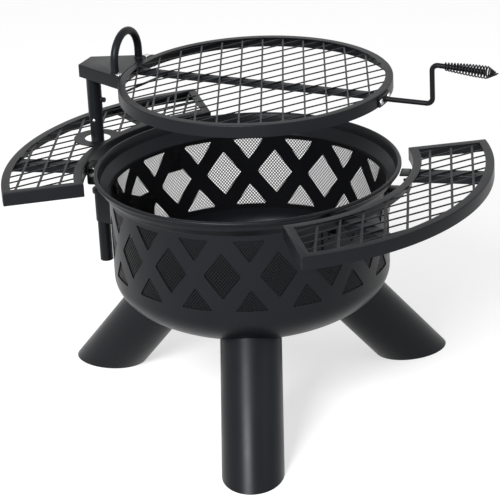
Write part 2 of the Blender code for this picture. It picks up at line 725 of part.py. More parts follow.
def make_shelf_arm(name, azimuth, root):
    """A channel under the expanded metal, from the shelf's inner wall to its outer wall."""
    half = CARRIER_WIDTH / 2
    start = SHELF_INNER + SHELF_SHEET + GAP
    flat = cos(SHELF_SPAN / SHELF_ARC_STEPS / 2)
    end = sqrt(((SHELF_OUTER - SHELF_SHEET) * flat - GAP) ** 2 - half**2)
    top = SHELF_TOP - SHELF_SHEET - NET_THICKNESS - 2 * GAP
    sheet = CARRIER_SHEET
    outer = box_solid(name, (start, -half, top - CARRIER_DEPTH), (end, half, top))
    finish(outer, root, POWDER_COAT, (0, 0, 0), (0, 0, azimuth))
    low = (start - half, -half + sheet, top - CARRIER_DEPTH - sheet)
    inside = as_cutter(box_solid(f"{name}_inside", low, (end + half, half - sheet, top - sheet)), root)
    inside.rotation_euler = (0, 0, azimuth)
    boolean(outer, inside)


def make_shelf_bracket(name, azimuth, root):
    """A bent strap from the bowl's wall, out under the rim, up the shelf's inner wall and back to the rim."""
    sheet = BRACKET_SHEET
    half = BRACKET_WIDTH / 2
    wall = BOWL_RADIUS + GAP
    plate = sqrt((SHELF_INNER * cos(SHELF_SPAN / SHELF_ARC_STEPS / 2) - GAP) ** 2 - half**2)
    lug = RIM_RADIUS + 2 * GAP
    bottom = BRACKET_BEND - BRACKET_WALL_PLATE
    top = SHELF_TOP - BRACKET_BELOW_SHELF
    outline = [
        (wall, bottom),
        (wall + sheet, bottom),
        (wall + sheet, BRACKET_BEND),
        (plate, BRACKET_BEND),
        (plate, top),
        (lug, top),
        (lug, top - sheet),
        (plate - sheet, top - sheet),
        (plate - sheet, BRACKET_BEND + sheet),
        (wall, BRACKET_BEND + sheet),
    ]
    strap = flat_solid(name, outline, BRACKET_WIDTH)
    upright = Matrix.Rotation(pi / 2, 4, "X") @ Matrix.Translation((0, 0, -half))
    strap.data.transform(upright)
    finish(strap, root, WIRE_BLACK, (0, 0, 0), (0, 0, azimuth))
    holes = [bolt_hole(*place) for place in bracket_bolt_places(azimuth)]
    holes += [bolt_hole(*place) for place in shelf_bolt_places([azimuth])]
    boolean(strap, as_cutter(joined(f"{name}_holes", holes), root))
    for i, (point, outwards) in enumerate(bracket_bolt_places(azimuth)):
        head = point + outwards * (GAP + sheet)
        bolt(f"{name}_bolt_{i + 1}", head, -outwards, root, sheet + BOWL_SHEET + 2 * GAP + SEAT_ROOM)
    point, inwards = shelf_bolt_places([azimuth])[0]
    head = point - inwards * SHELF_SHEET
    grip = SHELF_SHEET + SHELF_INNER - plate + sheet
    bolt(f"{name}_shelf_bolt", head, inwards, root, grip, tail=SHELF_BOLT_TAIL)


def make_post_holder(root):
    """A strap around the post, screwed to the bowl by two flanges that follow its wall."""
    sheet = HOLDER_SHEET
    bore = POST_RADIUS + GAP
    side = bore + sheet
    near = BOWL_RADIUS + GAP
    far = near + sheet
    reach = asin(HOLDER_FLANGE / far)
    outline = arc((POST_DISTANCE, 0), side, pi / 2, -pi / 2, 12)
    outline += arc((0, 0), far, -asin(side / far), -reach, 4)
    outline += arc((0, 0), near, -reach, -asin(bore / near), 5)
    outline += [(POST_DISTANCE - side, -bore), (POST_DISTANCE - side, bore)]
    outline += arc((0, 0), near, asin(bore / near), reach, 5)
    outline += arc((0, 0), far, reach, asin(side / far), 4)
    hole = arc((POST_DISTANCE, 0), post_bore(), 0, 2 * pi, POST_STEPS)[:-1]
    strap = flat_solid("post_holder", outline, HOLDER_TOP - HOLDER_BOTTOM, [hole])
    finish(strap, root, POWDER_COAT, (0, 0, HOLDER_BOTTOM), (0, 0, POST_AZIMUTH))
    holes = [bolt_hole(*place) for place in holder_bolt_places()]
    boolean(strap, as_cutter(joined("post_holder_holes", holes), root))
    for i, (point, outwards) in enumerate(holder_bolt_places()):
        head = point + outwards * (GAP + sheet)
        grip = sheet + BOWL_SHEET + 2 * GAP + SEAT_ROOM
        bolt(f"post_holder_bolt_{i + 1}", head, -outwards, root, grip)


def post_bore():
    """The inner radius of a faceted tube that clears the post all round."""
    return (POST_RADIUS + GAP) / cos(pi / POST_STEPS)


def pipe_profile(inner, outer, bottom, top):
    return [(inner, top), (outer, top), (outer, bottom), (inner, bottom)]


def make_post(swivel):
    """The post, which turns in its holder, with the collar that it stands on."""
    inner = POST_RADIUS - POST_SHEET
    low = HOLDER_BOTTOM - POST_BELOW_HOLDER
    profile = pipe_profile(inner, POST_RADIUS, low, GRATE_TOP - POST_BELOW_GRATE)
    pipe = finish(turned_solid("post", profile, POST_STEPS), swivel, POWDER_COAT)
    towards = polar(1, BUTTON_AZIMUTH)
    height = Vector((0, 0, BUTTON_HEIGHT))
    radius = BUTTON_RADIUS + GAP
    hole = rod_solid("button_hole", radius, height, height + towards * 2 * POST_RADIUS, SCREW_STEPS)
    boolean(pipe, as_cutter(hole, swivel))
    bottom = HOLDER_TOP + GAP
    outer = POST_RADIUS + COLLAR_WALL
    profile = pipe_profile(post_bore(), outer, bottom, bottom + COLLAR_HEIGHT)
    finish(turned_solid("post_collar", profile, POST_STEPS), swivel, POWDER_COAT)


def make_snap_button(swivel):
    """The button that the sleeve rests on, with its leaf, and the back of its spring clip in the post."""
    inner = POST_RADIUS - POST_SHEET
    tip = POST_RADIUS + BUTTON_PROUD
    back = inner - 2 * LEAF_SHEET
    profile = [
        (0, tip),
        (BUTTON_RADIUS * 0.6, tip - BUTTON_DOME / 4),
        (BUTTON_RADIUS, tip - BUTTON_DOME),
        (BUTTON_RADIUS, back),
        (0, back),
    ]
    button = turned_solid("snap_button", profile, SCREW_STEPS, closed=False)
    outwards = polar(1, BUTTON_AZIMUTH).to_track_quat("Z", "Y").to_euler()
    finish(button, swivel, BARE_STEEL, (0, 0, BUTTON_HEIGHT), outwards)
    half = BUTTON_RADIUS
    leaf = box_solid("snap_button_leaf", (-half, -LEAF_LENGTH, back - LEAF_SHEET), (half, half, back + GAP))
    boolean(button, as_cutter(leaf, swivel, (0, 0, BUTTON_HEIGHT), outwards), "UNION")
    far = sqrt((inner * cos(pi / POST_STEPS)) ** 2 - half**2) - GAP
    under = -LEAF_LENGTH - GAP
    clip = [
        (back, under - LEAF_SHEET),
        (back, under),
        (LEAF_SHEET - far, under),
        (LEAF_SHEET - far, half),
        (-far, half),
        (-far, under - LEAF_SHEET),
    ]
    spring = flat_solid("button_spring", clip, 2 * half)
    spring.data.transform(Matrix.Rotation(pi / 2, 4, "X") @ Matrix.Translation((0, 0, -half)))
    finish(spring, swivel, BARE_STEEL, (0, 0, BUTTON_HEIGHT), (0, 0, BUTTON_AZIMUTH))


def make_sleeve(lift):
    """The tube under the arm that slides and rests on the post, with the nut of its thumb screw."""
    inner = post_bore()
    top = GRATE_TOP - ARM_SHEET - GAP
    pipe = turned_solid("grate_sleeve", pipe_profile(inner, SLEEVE_RADIUS, SLEEVE_BOTTOM, top), POST_STEPS)
    finish(pipe, lift, POWDER_COAT)
    start = (SLEEVE_RADIUS - THUMB_NUT_SUNK, 0, THUMB_SCREW_HEIGHT)
    end = (SLEEVE_RADIUS + THUMB_NUT_LENGTH, 0, THUMB_SCREW_HEIGHT)
    boolean(pipe, as_cutter(rod_solid("thumb_nut", THUMB_NUT_RADIUS, start, end, HEX_STEPS), lift), "UNION")
    inside = (0, 0, THUMB_SCREW_HEIGHT)
    outside = (2 * SLEEVE_RADIUS, 0, THUMB_SCREW_HEIGHT)
    hole = rod_solid("thumb_hole", THUMB_SCREW_RADIUS + GAP, inside, outside, SCREW_STEPS)
    boolean(pipe, as_cutter(hole, lift))
    knob_start = SLEEVE_RADIUS + THUMB_NUT_LENGTH + 2 * GAP
    profile = [
        (0, knob_start + THUMB_KNOB_LENGTH),
        (THUMB_KNOB_RADIUS * 0.8, knob_start + THUMB_KNOB_LENGTH),
        (THUMB_KNOB_RADIUS, knob_start + THUMB_KNOB_LENGTH * 0.7),
        (THUMB_KNOB_RADIUS, knob_start),
        (THUMB_SCREW_RADIUS, knob_start),
        (THUMB_SCREW_RADIUS, inner + GAP),
        (0, inner + GAP),
    ]
    screw = turned_solid("thumb_screw", profile, SCREW_STEPS, closed=False)
    finish(screw, lift, WIRE_BLACK, (0, 0, THUMB_SCREW_HEIGHT), (0, pi / 2, 0))


def arm_half_width(along):
    """Half the arm's width on its tapered sides, at a distance from the post."""
    radius = GRATE_RADIUS + ARM_GAP
    front = GRATE_REACH - sqrt(radius**2 - (ARM_FRONT_WIDTH / 2) ** 2)
    share = (along + ARM_BACK) / (front + ARM_BACK)
    return (ARM_BACK_WIDTH + (ARM_FRONT_WIDTH - ARM_BACK_WIDTH) * share) / 2


def make_arm(lift):
    """A tapered channel, open below and at the ring."""
    radius = GRATE_RADIUS + ARM_GAP
    reach = asin(ARM_FRONT_WIDTH / 2 / radius)
    outline = [(-ARM_BACK, ARM_BACK_WIDTH / 2), (-ARM_BACK, -ARM_BACK_WIDTH / 2)]
    outline += arc((GRATE_REACH, 0), radius, pi + reach, pi - reach, 10)
    arm = flat_solid("grate_arm", outline, ARM_DEPTH)
    finish(arm, lift, POWDER_COAT, (0, 0, GRATE_TOP - ARM_DEPTH))
    near = -ARM_BACK + ARM_SHEET
    far = GRATE_REACH / 2
    near_half = arm_half_width(near) - ARM_SHEET
    far_half = arm_half_width(far) - ARM_SHEET
    hollow = [(near, near_half), (near, -near_half), (far, -far_half), (far, far_half)]
    inside = flat_solid("grate_arm_inside", hollow, ARM_DEPTH)
    as_cutter(inside, lift, (0, 0, GRATE_TOP - ARM_DEPTH - ARM_SHEET))
    boolean(arm, inside)
    boolean(arm, arm_screw_holes)
    front = ring_edge(ARM_SCREW_SPREAD)
    for side, end in ((-1, "front"), (1, "back")):
        place = (front - ARM_SCREW_FROM_RING, side * ARM_SCREW_SPREAD, GRATE_TOP)
        grip = ARM_SHEET + ARM_SHEET + GAP
        bolt(f"arm_screw_{end}", place, (0, 0, -1), lift, grip, head_steps=SCREW_STEPS, slot=BARE_STEEL)


def ring_edge(sideways):
    """The distance from the post, along the arm, at which the ring's outer wall is met."""
    return GRATE_REACH - sqrt(GRATE_RADIUS**2 - sideways**2)


def make_lifting_handle(lift):
    """A U of round tube that stands across the arm."""
    along = ring_edge(0) - LIFT_FROM_RING
    low = GRATE_TOP + GAP
    bend = low + LIFT_STRAIGHT
    points = [(along, -LIFT_SPREAD, low)]
    points += [(along, y, bend + z) for y, z in arc((0, 0), LIFT_SPREAD, pi, 0, 12)]
    points.append((along, LIFT_SPREAD, low))
    finish(tube_solid("lifting_handle", points, LIFT_TUBE_RADIUS), lift, POWDER_COAT)


def make_ring(lift):
    """The grate's ring: a flange on top and a wall turned down, with two ears under the arm."""
    sheet = GRATE_SHEET
    outer = GRATE_RADIUS
    bottom = GRATE_TOP - GRATE_WALL
    profile = [
        (outer - GRATE_FLANGE, GRATE_TOP),
        (outer, GRATE_TOP),
        (outer, bottom),
        (outer - sheet, bottom),
        (outer - sheet, GRATE_TOP - sheet),
        (outer - GRATE_FLANGE, GRATE_TOP - sheet),
    ]
    ring = finish(turned_solid("grate_ring", profile, GRATE_STEPS), lift, POWDER_COAT, (GRATE_REACH, 0, 0))
    ear_top = GRATE_TOP - ARM_SHEET - GAP
    front = ring_edge(ARM_SCREW_SPREAD)
    half = RING_EAR_WIDTH / 2
    for side in (-1, 1):
        middle = side * ARM_SCREW_SPREAD
        low = (front - RING_EAR_LENGTH, middle - half, ear_top - ARM_SHEET)
        high = (front + sheet / 2, middle + half, ear_top)
        ear = box_solid(f"ring_ear_{'front' if side < 0 else 'back'}", low, high)
        boolean(ring, as_cutter(ear, lift), "UNION")
    boolean(ring, arm_screw_holes)
    boolean(ring, handle_screw_holes)


def make_grate_net(lift):
    """The expanded metal under the ring's flange, with its strands set in the world's directions at rest."""
    border = GRATE_FLANGE - NET_UNDER_FLANGE

    def lines(middle):
        outwards = middle.normalized()
        return [(outwards * (GRATE_RADIUS - border), -outwards)]

    spacings = GRATE_NET_SPACINGS
    gaps = net_gaps(GRATE_NET_ANGLES, spacings, GRATE_NET_STRANDS, GRATE_NET_PHASE, GRATE_RADIUS, lines)
    outline = arc((0, 0), GRATE_RADIUS - GRATE_SHEET - NET_INSET, 0, 2 * pi, GRATE_STEPS)[:-1]
    plate = flat_solid("grate_mesh", outline, NET_THICKNESS, gaps)
    place = (GRATE_REACH, 0, net_bottom())
    finish(plate, lift, POWDER_COAT, place, (0, 0, -ARM_AZIMUTH))


def ring_room():
    """The largest radius inside the ring's faceted wall."""
    return (GRATE_RADIUS - GRATE_SHEET) * cos(pi / GRATE_STEPS) - GAP


def net_bottom():
    return GRATE_TOP - GRATE_SHEET - GAP - NET_THICKNESS


def make_crossbar(lift):
    """A channel under the expanded metal, across the ring in line with the arm."""
    top = net_bottom() - GAP
    half = CROSSBAR_WIDTH / 2
    sheet = CROSSBAR_SHEET
    reach = sqrt(ring_room() ** 2 - half**2)
    bar = box_solid("grate_crossbar", (-reach, -half, top - CROSSBAR_DEPTH), (reach, half, top))
    finish(bar, lift, POWDER_COAT, (GRATE_REACH, 0, 0))
    low = (-reach - half, -half + sheet, top - CROSSBAR_DEPTH - sheet)
    inside = box_solid("crossbar_inside", low, (reach + half, half - sheet, top - sheet))
    boolean(bar, as_cutter(inside, lift, (GRATE_REACH, 0, 0)))


def make_brace(lift):
    """A flat strip under the expanded metal, from the crossbar to the ring near the arm."""
    top = net_bottom() - GAP
    bar_side = CROSSBAR_WIDTH / 2 + GAP
    direction = Vector((-cos(BRACE_ANGLE), -sin(BRACE_ANGLE)))
    start = Vector((BRACE_FROM_RING - GRATE_RADIUS, -bar_side))
    limit = ring_room() - BRACE_WIDTH / 2
    along = start.dot(direction)
    length = -along + sqrt(along**2 + limit**2 - start.length_squared)
    cut_back = BRACE_WIDTH / 2 * cos(BRACE_ANGLE) / sin(BRACE_ANGLE)
    low = (cut_back, -BRACE_WIDTH / 2, top - BRACE_THICKNESS)
    strip = box_solid("grate_brace", low, (length, BRACE_WIDTH / 2, top))
    turn = atan2(direction.y, direction.x)
    finish(strip, lift, WIRE_BLACK, (GRATE_REACH + start.x, start.y, 0), (0, 0, turn))


def make_handle_bracket(lift):
    """A plate curved to the ring's wall, held by two screws, that the handle's rod is fixed to."""
    near = GRATE_RADIUS + GAP
    far = near + HANDLE_PLATE_SHEET
    reach = HANDLE_PLATE_WIDTH / 2 / GRATE_RADIUS
    outline = arc((0, 0), far, -reach, reach, 6) + arc((0, 0), near, reach, -reach, 6)
    bottom = HANDLE_HEIGHT - HANDLE_PLATE_HEIGHT / 2
    plate = flat_solid("handle_bracket", outline, HANDLE_PLATE_HEIGHT)
    finish(plate, lift, POWDER_COAT, (GRATE_REACH, 0, bottom))
    boolean(plate, handle_screw_holes)
    for i, (point, outwards) in enumerate(handle_screw_places()):
        head = point + outwards * (GAP + HANDLE_PLATE_SHEET)
        grip = HANDLE_PLATE_SHEET + GRATE_SHEET + GAP + SEAT_ROOM
        bolt(f"handle_screw_{i + 1}", head, -outwards, lift, grip, head_steps=SCREW_STEPS, slot=BARE_STEEL)


def handle_screw_places():
    """Points on the ring's wall and outward directions of the handle's two screws, from the post."""
    middle = Vector((GRATE_REACH, 0, HANDLE_HEIGHT))
    turns = [side * HANDLE_SCREW_SPREAD / GRATE_RADIUS for side in (-1, 1)]
    return [(middle + polar(GRATE_RADIUS, turn), polar(1, turn)) for turn in turns]


def rod_route():
    """The handle rod's middle line, from its plate to its tip, as (distance from the post, height)."""
    start = (GRATE_REACH + GRATE_RADIUS + 2 * GAP + HANDLE_PLATE_SHEET, HANDLE_HEIGHT)
    bend = ROD_BEND
    steps = 3
    low_bend = arc((ROD_RISER - bend, HANDLE_HEIGHT + bend), bend, -pi / 2, 0, steps)
    high_bend = arc((ROD_RISER + bend, ROD_GRIP_HEIGHT - bend), bend, pi, pi / 2 - ROD_DROOP, steps)
    cone_start = GRIP_LENGTH * (1 - GRIP_CONE_TURNS / GRIP_TURNS)
    end = grip_point(GRIP_START + cone_start - ROD_RADIUS)
    return [start] + low_bend + high_bend + [end]


def grip_point(along):
    """A point of the grip's axis, along from the riser, as (distance from the post, height)."""
    bend_end = arc((ROD_BEND, -ROD_BEND), ROD_BEND, pi, pi / 2 - ROD_DROOP, 1)[1]
    run = along - bend_end[0]
    x = ROD_RISER + along
    return x, ROD_GRIP_HEIGHT + bend_end[1] - run * sin(ROD_DROOP) / cos(ROD_DROOP)


def make_handle_rod(lift):
    points = [(x, 0, z) for x, z in rod_route()]
    finish(tube_solid("handle_rod", points, ROD_RADIUS), lift, WIRE_BLACK)


def grip_wire():
    """The spring grip's wire, from a snug first curl to its closed cone, in the handle's own axes."""
    snug = (ROD_RADIUS + GAP + GRIP_WIRE_RADIUS) / cos(pi / GRIP_POINTS)
    straight = 2 * GRIP_WIRE_RADIUS
    winding = GRIP_LENGTH - 2 * straight
    steps = GRIP_TURNS * GRIP_POINTS
    cone_from = 1 - GRIP_CONE_TURNS / GRIP_TURNS
    end_radius = GRIP_WIRE_RADIUS + GAP
    points = [(0, snug, 0)]
    for i in range(steps + 1):
        share = i / steps
        angle = 2 * pi * i / GRIP_POINTS
        radius = snug + (GRIP_END_RADIUS - snug) * sin(min(share / cone_from, 1) * pi / 2)
        if share > cone_from:
            closing = (share - cone_from) / (1 - cone_from)
            radius = GRIP_END_RADIUS + (end_radius - GRIP_END_RADIUS) * closing
        points.append((straight + winding * share, radius * cos(angle), radius * sin(angle)))
    last = points[-1]
    points.append((last[0] + straight, last[1], last[2]))
    return points


def least_gap(points, radius):
    """The least distance between stretches of a wire that aren't neighbours, less its diameter."""
    best = 1.0
    apart = GRIP_POINTS // 2
    for i in range(len(points)):
        for j in range(i + apart, len(points)):
            best = min(best, (Vector(points[i]) - Vector(points[j])).length)
    return best - 2 * radius


def make_spring_grip(lift):
    """The coiled wire grip on the rod's upper run."""
    wire = grip_wire()
    print(f"spring grip: least gap between curls {least_gap(wire, GRIP_WIRE_RADIUS) * 1000:.2f} mm")
    grip = tube_solid("handle_spring_grip", wire, GRIP_WIRE_RADIUS, 1)
    x, z = grip_point(GRIP_START)
    finish(grip, lift, WIRE_BLACK, (x, 0, z), (0, ROD_DROOP, 0), smooth=60)


clear_scene()
parts = new_collection("fire_pit_grill")
cutters = new_collection("cutters")
materials = {name: make_material(name) for name in MATERIALS}

bowl_axis = new_empty("bowl_axis", (0, 0, 0))
post_axis = new_empty("post_axis", polar(POST_DISTANCE, POST_AZIMUTH), bowl_axis)
lift_axis = new_empty("lift_axis", (0, 0, 0), post_axis, ARM_AZIMUTH)

leg_floor = as_cutter(box_solid("leg_floor", (-1, -1, -1), (1, 1, 0)), bowl_axis)
leg_floor_inside = as_cutter(box_solid("leg_floor_inside", (-1, -1, -1), (1, 1, LEG_SHEET)), bowl_axis)
leg_top = as_cutter(bowl_bulk("leg_top", GAP), bowl_axis)
leg_top_inside = as_cutter(bowl_bulk("leg_top_inside", GAP + LEG_TOP_PLATE), bowl_axis)
arm_screw_x = ring_edge(ARM_SCREW_SPREAD) - ARM_SCREW_FROM_RING
arm_screw_holes = joined(
    "arm_screw_holes",
    [bolt_hole((arm_screw_x, side * ARM_SCREW_SPREAD, GRATE_TOP), (0, 0, 1)) for side in (-1, 1)],
)
as_cutter(arm_screw_holes, lift_axis)
handle_screw_holes = joined("handle_screw_holes", [bolt_hole(*place) for place in handle_screw_places()])
as_cutter(handle_screw_holes, lift_axis)

make_bowl(bowl_axis)
make_spark_screen(bowl_axis)
for leg_number, leg_name in enumerate(("leg_front", "leg_right", "leg_left")):
    make_leg(leg_name, leg_number, bowl_axis)
shelves = (
    ("left", LEFT_SHELF, LEFT_CARRIERS, LEFT_NET_PHASE, True),
    ("right", RIGHT_SHELF, RIGHT_CARRIERS, RIGHT_NET_PHASE, False),
)
for side_name, middle_azimuth, carrier_azimuths, net_phase, has_post_ring in shelves:
    make_shelf_frame(f"shelf_frame_{side_name}", middle_azimuth, carrier_azimuths, bowl_axis, has_post_ring)
    make_shelf_net(f"shelf_mesh_{side_name}", middle_azimuth, net_phase, bowl_axis, has_post_ring)
    for number, carrier in enumerate(carrier_azimuths):
        make_shelf_arm(f"shelf_arm_{side_name}_{number + 1}", carrier, bowl_axis)
        make_shelf_bracket(f"shelf_bracket_{side_name}_{number + 1}", carrier, bowl_axis)
make_post_holder(bowl_axis)
make_post(post_axis)
make_snap_button(post_axis)
make_sleeve(lift_axis)
make_arm(lift_axis)
make_lifting_handle(lift_axis)
make_ring(lift_axis)
make_grate_net(lift_axis)
make_crossbar(lift_axis)
make_brace(lift_axis)
make_handle_bracket(lift_axis)
make_handle_rod(lift_axis)
make_spring_grip(lift_axis)
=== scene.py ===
"""Looks of a fire pit with a swivel cooking grate and two side shelves, built around its CAD frame.

Metres, +Z up, floor at z = 0, the bowl's axis on the world's Z axis. The pieces on the post are modelled
with the post at the origin and the arm along +X, and then placed.
"""

from math import asin, atan2, cos, hypot, pi, radians, sin, sqrt, tan

import bmesh
import bpy
import numpy as np
from bpy.props import FloatProperty, FloatVectorProperty, IntProperty, PointerProperty
from mathutils import Matrix, Vector


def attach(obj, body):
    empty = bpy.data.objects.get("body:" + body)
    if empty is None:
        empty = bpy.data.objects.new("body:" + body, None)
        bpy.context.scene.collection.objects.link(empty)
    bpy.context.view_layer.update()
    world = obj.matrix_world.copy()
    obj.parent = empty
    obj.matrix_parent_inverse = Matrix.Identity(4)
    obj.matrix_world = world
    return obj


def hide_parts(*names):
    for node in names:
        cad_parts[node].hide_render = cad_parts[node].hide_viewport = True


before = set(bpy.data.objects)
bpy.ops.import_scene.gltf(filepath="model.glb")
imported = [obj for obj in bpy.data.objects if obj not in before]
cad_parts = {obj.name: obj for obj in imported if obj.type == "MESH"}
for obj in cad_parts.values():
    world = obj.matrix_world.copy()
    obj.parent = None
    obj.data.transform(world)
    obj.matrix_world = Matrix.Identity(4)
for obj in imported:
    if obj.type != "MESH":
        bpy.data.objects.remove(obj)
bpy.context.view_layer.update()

bl_info = {
    "name": "Fire Pit Grill",
    "version": (1, 0, 0),
    "blender": (4, 5, 0),
    "location": "View3D > Sidebar > Fire Pit",
    "description": "Models a fire pit with a swivel cooking grate and two mesh shelves",
    "category": "Mesh",
}

# Gap between pieces that touch
GAP = 0.0003
# How much short of a curved wall a straight end stops
ARM_SHORT = 0.0003
# Distance under which vertices are merged, and difference under which two sizes are the same
MERGE = 0.00001
SAME = 1e-9
# Part of a face's normal past which the face looks along an axis
FACING = 0.5
# Bend between two faces of a shelf past which their edge is a fold
FOLD = radians(60)
# Least cosine that a bend in a line counts with when a line is drawn beside it
SHARPEST = 0.5
# Faces across a fold and round a corner
FOLD_STEPS = 4
CORNER_STEPS = 5
# Faces round holes and shanks, the post's hole and ring in the shelf, heads and their chamfers,
# the handle's rod, the lifting loop and the grip's wire
HOLE_STEPS = 32
SHANK_STEPS = 24
POST_HOLE_STEPS = 72
POST_RING_STEPS = 96
HEAD_STEPS = 40
CHAMFER_STEPS = 48
ROD_STEPS = 32
LOOP_STEPS = 40
WIRE_STEPS = 8
# Grain of the finishes in waves per metre, its detail, and the height of the fine one
SLOW_GRAIN = 14.0
SLOW_DETAIL = 3
COAT_GRAIN = 1400.0
ZINC_GRAIN = 2600.0
FINE_DETAIL = 2
BUMP_STRENGTH = 0.18
BUMP_HEIGHT = 0.0002
# Shade of the slow grain's dark and pale patches, its range, and the change of roughness over it
DARK_PATCH = 0.85
PALE_PATCH = 1.15
PATCH_RANGE = (0.3, 0.7)
GLOSS_CHANGE = 0.04
# Specular level of the finishes, and the cool tint of their highlights
PAINT_SHINE = 0.14
SHINE_TINT = (0.90, 0.94, 1.0, 1.0)
# Start and end of the rolled rim's bead, and the faces along it
BEAD_START = radians(165)
BEAD_END = radians(-100)
BEAD_STEPS = 14
# Length of the tools that cut through the bowl's wall, and a diamond's rounding over a triangle's
CUT_REACH = 0.03
DIAMOND_ROUNDING = 0.8
# How far past the bowl's underside a leg's tube is modelled, in its radii, and depth of its drain hole
LEG_PAST = 1.2
DRAIN_DEPTH = 0.012
# Thickness of a strap over the rounding of its edges
STRAP_BY_EDGE = 6
# Radius of a bracket's bends and of the crossbar's over their sheet, and of an ear's corners over half
# the ear's width
BRACKET_BEND = 0.9
BAR_BEND = 1.6
EAR_ROUNDING = 0.7
# Cells across the grids that the shelves' and the grate's meshes are cut from
NET_CELLS = 24
# Pitch of a bolt's thread, radius of its root and of its end over the shank's
THREAD_PITCH = 0.001
THREAD_ROOT = 0.84
THREAD_END = 0.75
# Height of the chamfer on a hexagon's corners over its width
CHAMFER_SLOPE = 0.6
# Height of a pan head over a hex head's, heights of its edge and of its recess's floor over its own, and
# the recess's reach and half its width over the head's radius
PAN_HEIGHT = 0.8
PAN_EDGE = 0.35
RECESS_FLOOR = 0.45
RECESS_REACH = 0.62
RECESS_HALF = 0.1
# Angles at which a dome's rings of faces lie, up to its flat middle
DOME = (0.3, 0.6, 0.9, 1.2, 1.45)
# Height of the snap button's dome over its radius
BUTTON_DOME = 0.55
# Knurls round the thumb screw, and its radius in the grooves over that on the crests
KNURLS = 20
KNURL_ROOT = 0.92
# A weld bead's outline from its bar outwards, over the bead's width
WELD_LINE = ((0.45, 0.8), (0.85, 0.4), (1, 0))
# Width of the weld at the sleeve's top over the sleeve's sheet
SLEEVE_WELD = 1.6
# How far the arm's channel is modelled past the ring before it is cut to it
ARM_PAST = 0.012
# Floor's side, and how much brighter it is where it is seen
FLOOR_SIZE = 60.0
FLOOR_LIFT = 0.6
# Places and sizes of the lamps
KEY_PLACE = (-1.6, -3.4, 2.9)
KEY_SIZE = 1.7
FILL_PLACE = (2.8, -1.4, 2.2)
FILL_SIZE = 2.2
# The legs' nodes, in their order round the bowl
LEGS = ("leg_front", "leg_right", "leg_left")
# Directions of the arms and brackets that carry the shelves, by the end of their nodes' names
CARRIERS = {
    "left_1": radians(167.8),
    "left_2": radians(122.8),
    "right_1": radians(-12.2),
    "right_2": radians(-57.2),
}
# Distance of one strand in each direction from the bowl's axis, or from the grate's middle
SHELF_PHASES = {"left": (-0.3642, -0.3427), "right": (0.3945, 0.3749)}
GRATE_PHASE = (0.0126, 0.0075)
# Finishes that have been made, by slot
MADE = {}


def length(name, description, default):
    """A property that holds a length in metres."""
    return FloatProperty(
        name=name, description=description, default=default, min=0.0, precision=5, unit="LENGTH"
    )


def angle(name, description, degrees):
    """A property that holds an angle, with its default given in degrees."""
    return FloatProperty(name=name, description=description, default=radians(degrees), unit="ROTATION")


def amount(name, description, default):
    """A property that holds a number without a unit of Blender's."""
    return FloatProperty(name=name, description=description, default=default, min=0.0)


def count(name, description, default):
    """A property that holds a number of steps or pieces."""
    return IntProperty(name=name, description=description, default=default, min=1)


def colour(name, description, default):
    """A property that holds a colour."""
    return FloatVectorProperty(
        name=name, description=description, default=default, min=0, max=1, subtype="COLOR"
    )


def share(name, description, default):
    """A property that holds a share from 0 to 1."""
    return FloatProperty(name=name, description=description, default=default, min=0, max=1, subtype="FACTOR")


class BowlSizes(bpy.types.PropertyGroup):
    radius: length("Wall radius", "Outer radius of the straight wall", 0.277)
    sheet: length("Sheet", "Thickness of the bowl's steel", 0.0016)
    wall_bottom: length("Wall bottom", "Height at which the straight wall starts", 0.283)
    wall_height: length("Wall height", "Height of the straight wall", 0.176)
    bottom_depth: length("Bottom depth", "Depth of the bowl below its straight wall", 0.109)
    flare_overhang: length("Flare overhang", "How far the flare stands out from the wall", 0.0175)
    flare_height: length("Flare height", "Height of the flare above the wall", 0.018)
    rim_overhang: length("Rim overhang", "How far the rolled rim stands out from the wall", 0.028)
    rim_height: length("Rim height", "Height of the rim's top above the flare", 0.0206)
    bead: length("Rim bead", "Radius of the rolled rim", 0.0042)
    flare_bend: length("Flare bend", "Radius of the bends above and below the flare", 0.007)
    steps: count("Steps", "Faces around the bowl", 288)
    bottom_rings: count("Bottom rings", "Rings of faces in the bowl's bottom", 26)


class CutoutSizes(bpy.types.PropertyGroup):
    around: count("Around", "Cutouts in each row", 16)
    first: angle("First diamond", "Direction of one diamond's middle", -102.2)
    upper_base: length("Upper base", "Height of the upper triangles' base", 0.449)
    upper_height: length("Upper height", "Height of the upper triangles", 0.0465)
    upper_width: length("Upper width", "Width of the upper triangles", 0.0636)
    diamond_height: length("Diamond height", "Height of the diamonds", 0.098)
    diamond_width: length("Diamond width", "Width of the diamonds", 0.074)
    lower_base: length("Lower base", "Height of the lower triangles' base", 0.3025)
    lower_height: length("Lower height", "Height of the lower triangles", 0.0465)
    lower_width: length("Lower width", "Width of the lower triangles", 0.065)
    rounding: length("Rounding", "How far from its tip a corner starts to be rounded", 0.0052)


class ScreenSizes(bpy.types.PropertyGroup):
    sheet: length("Sheet", "Thickness of both layers of strands", 0.0008)
    cell_width: length("Cell width", "Width of a diamond of the screen", 0.0064)
    cell_height: length("Cell height", "Height of a diamond of the screen", 0.0078)
    strand: length("Strand", "Width of a strand", 0.0016)
    margin: length("Margin", "How far the screen reaches past the cutouts", 0.0085)
    border: length("Border", "Height of the plain strips at its edges", 0.003)
    strand_steps: count("Strand steps", "Pieces in the length of a strand", 10)


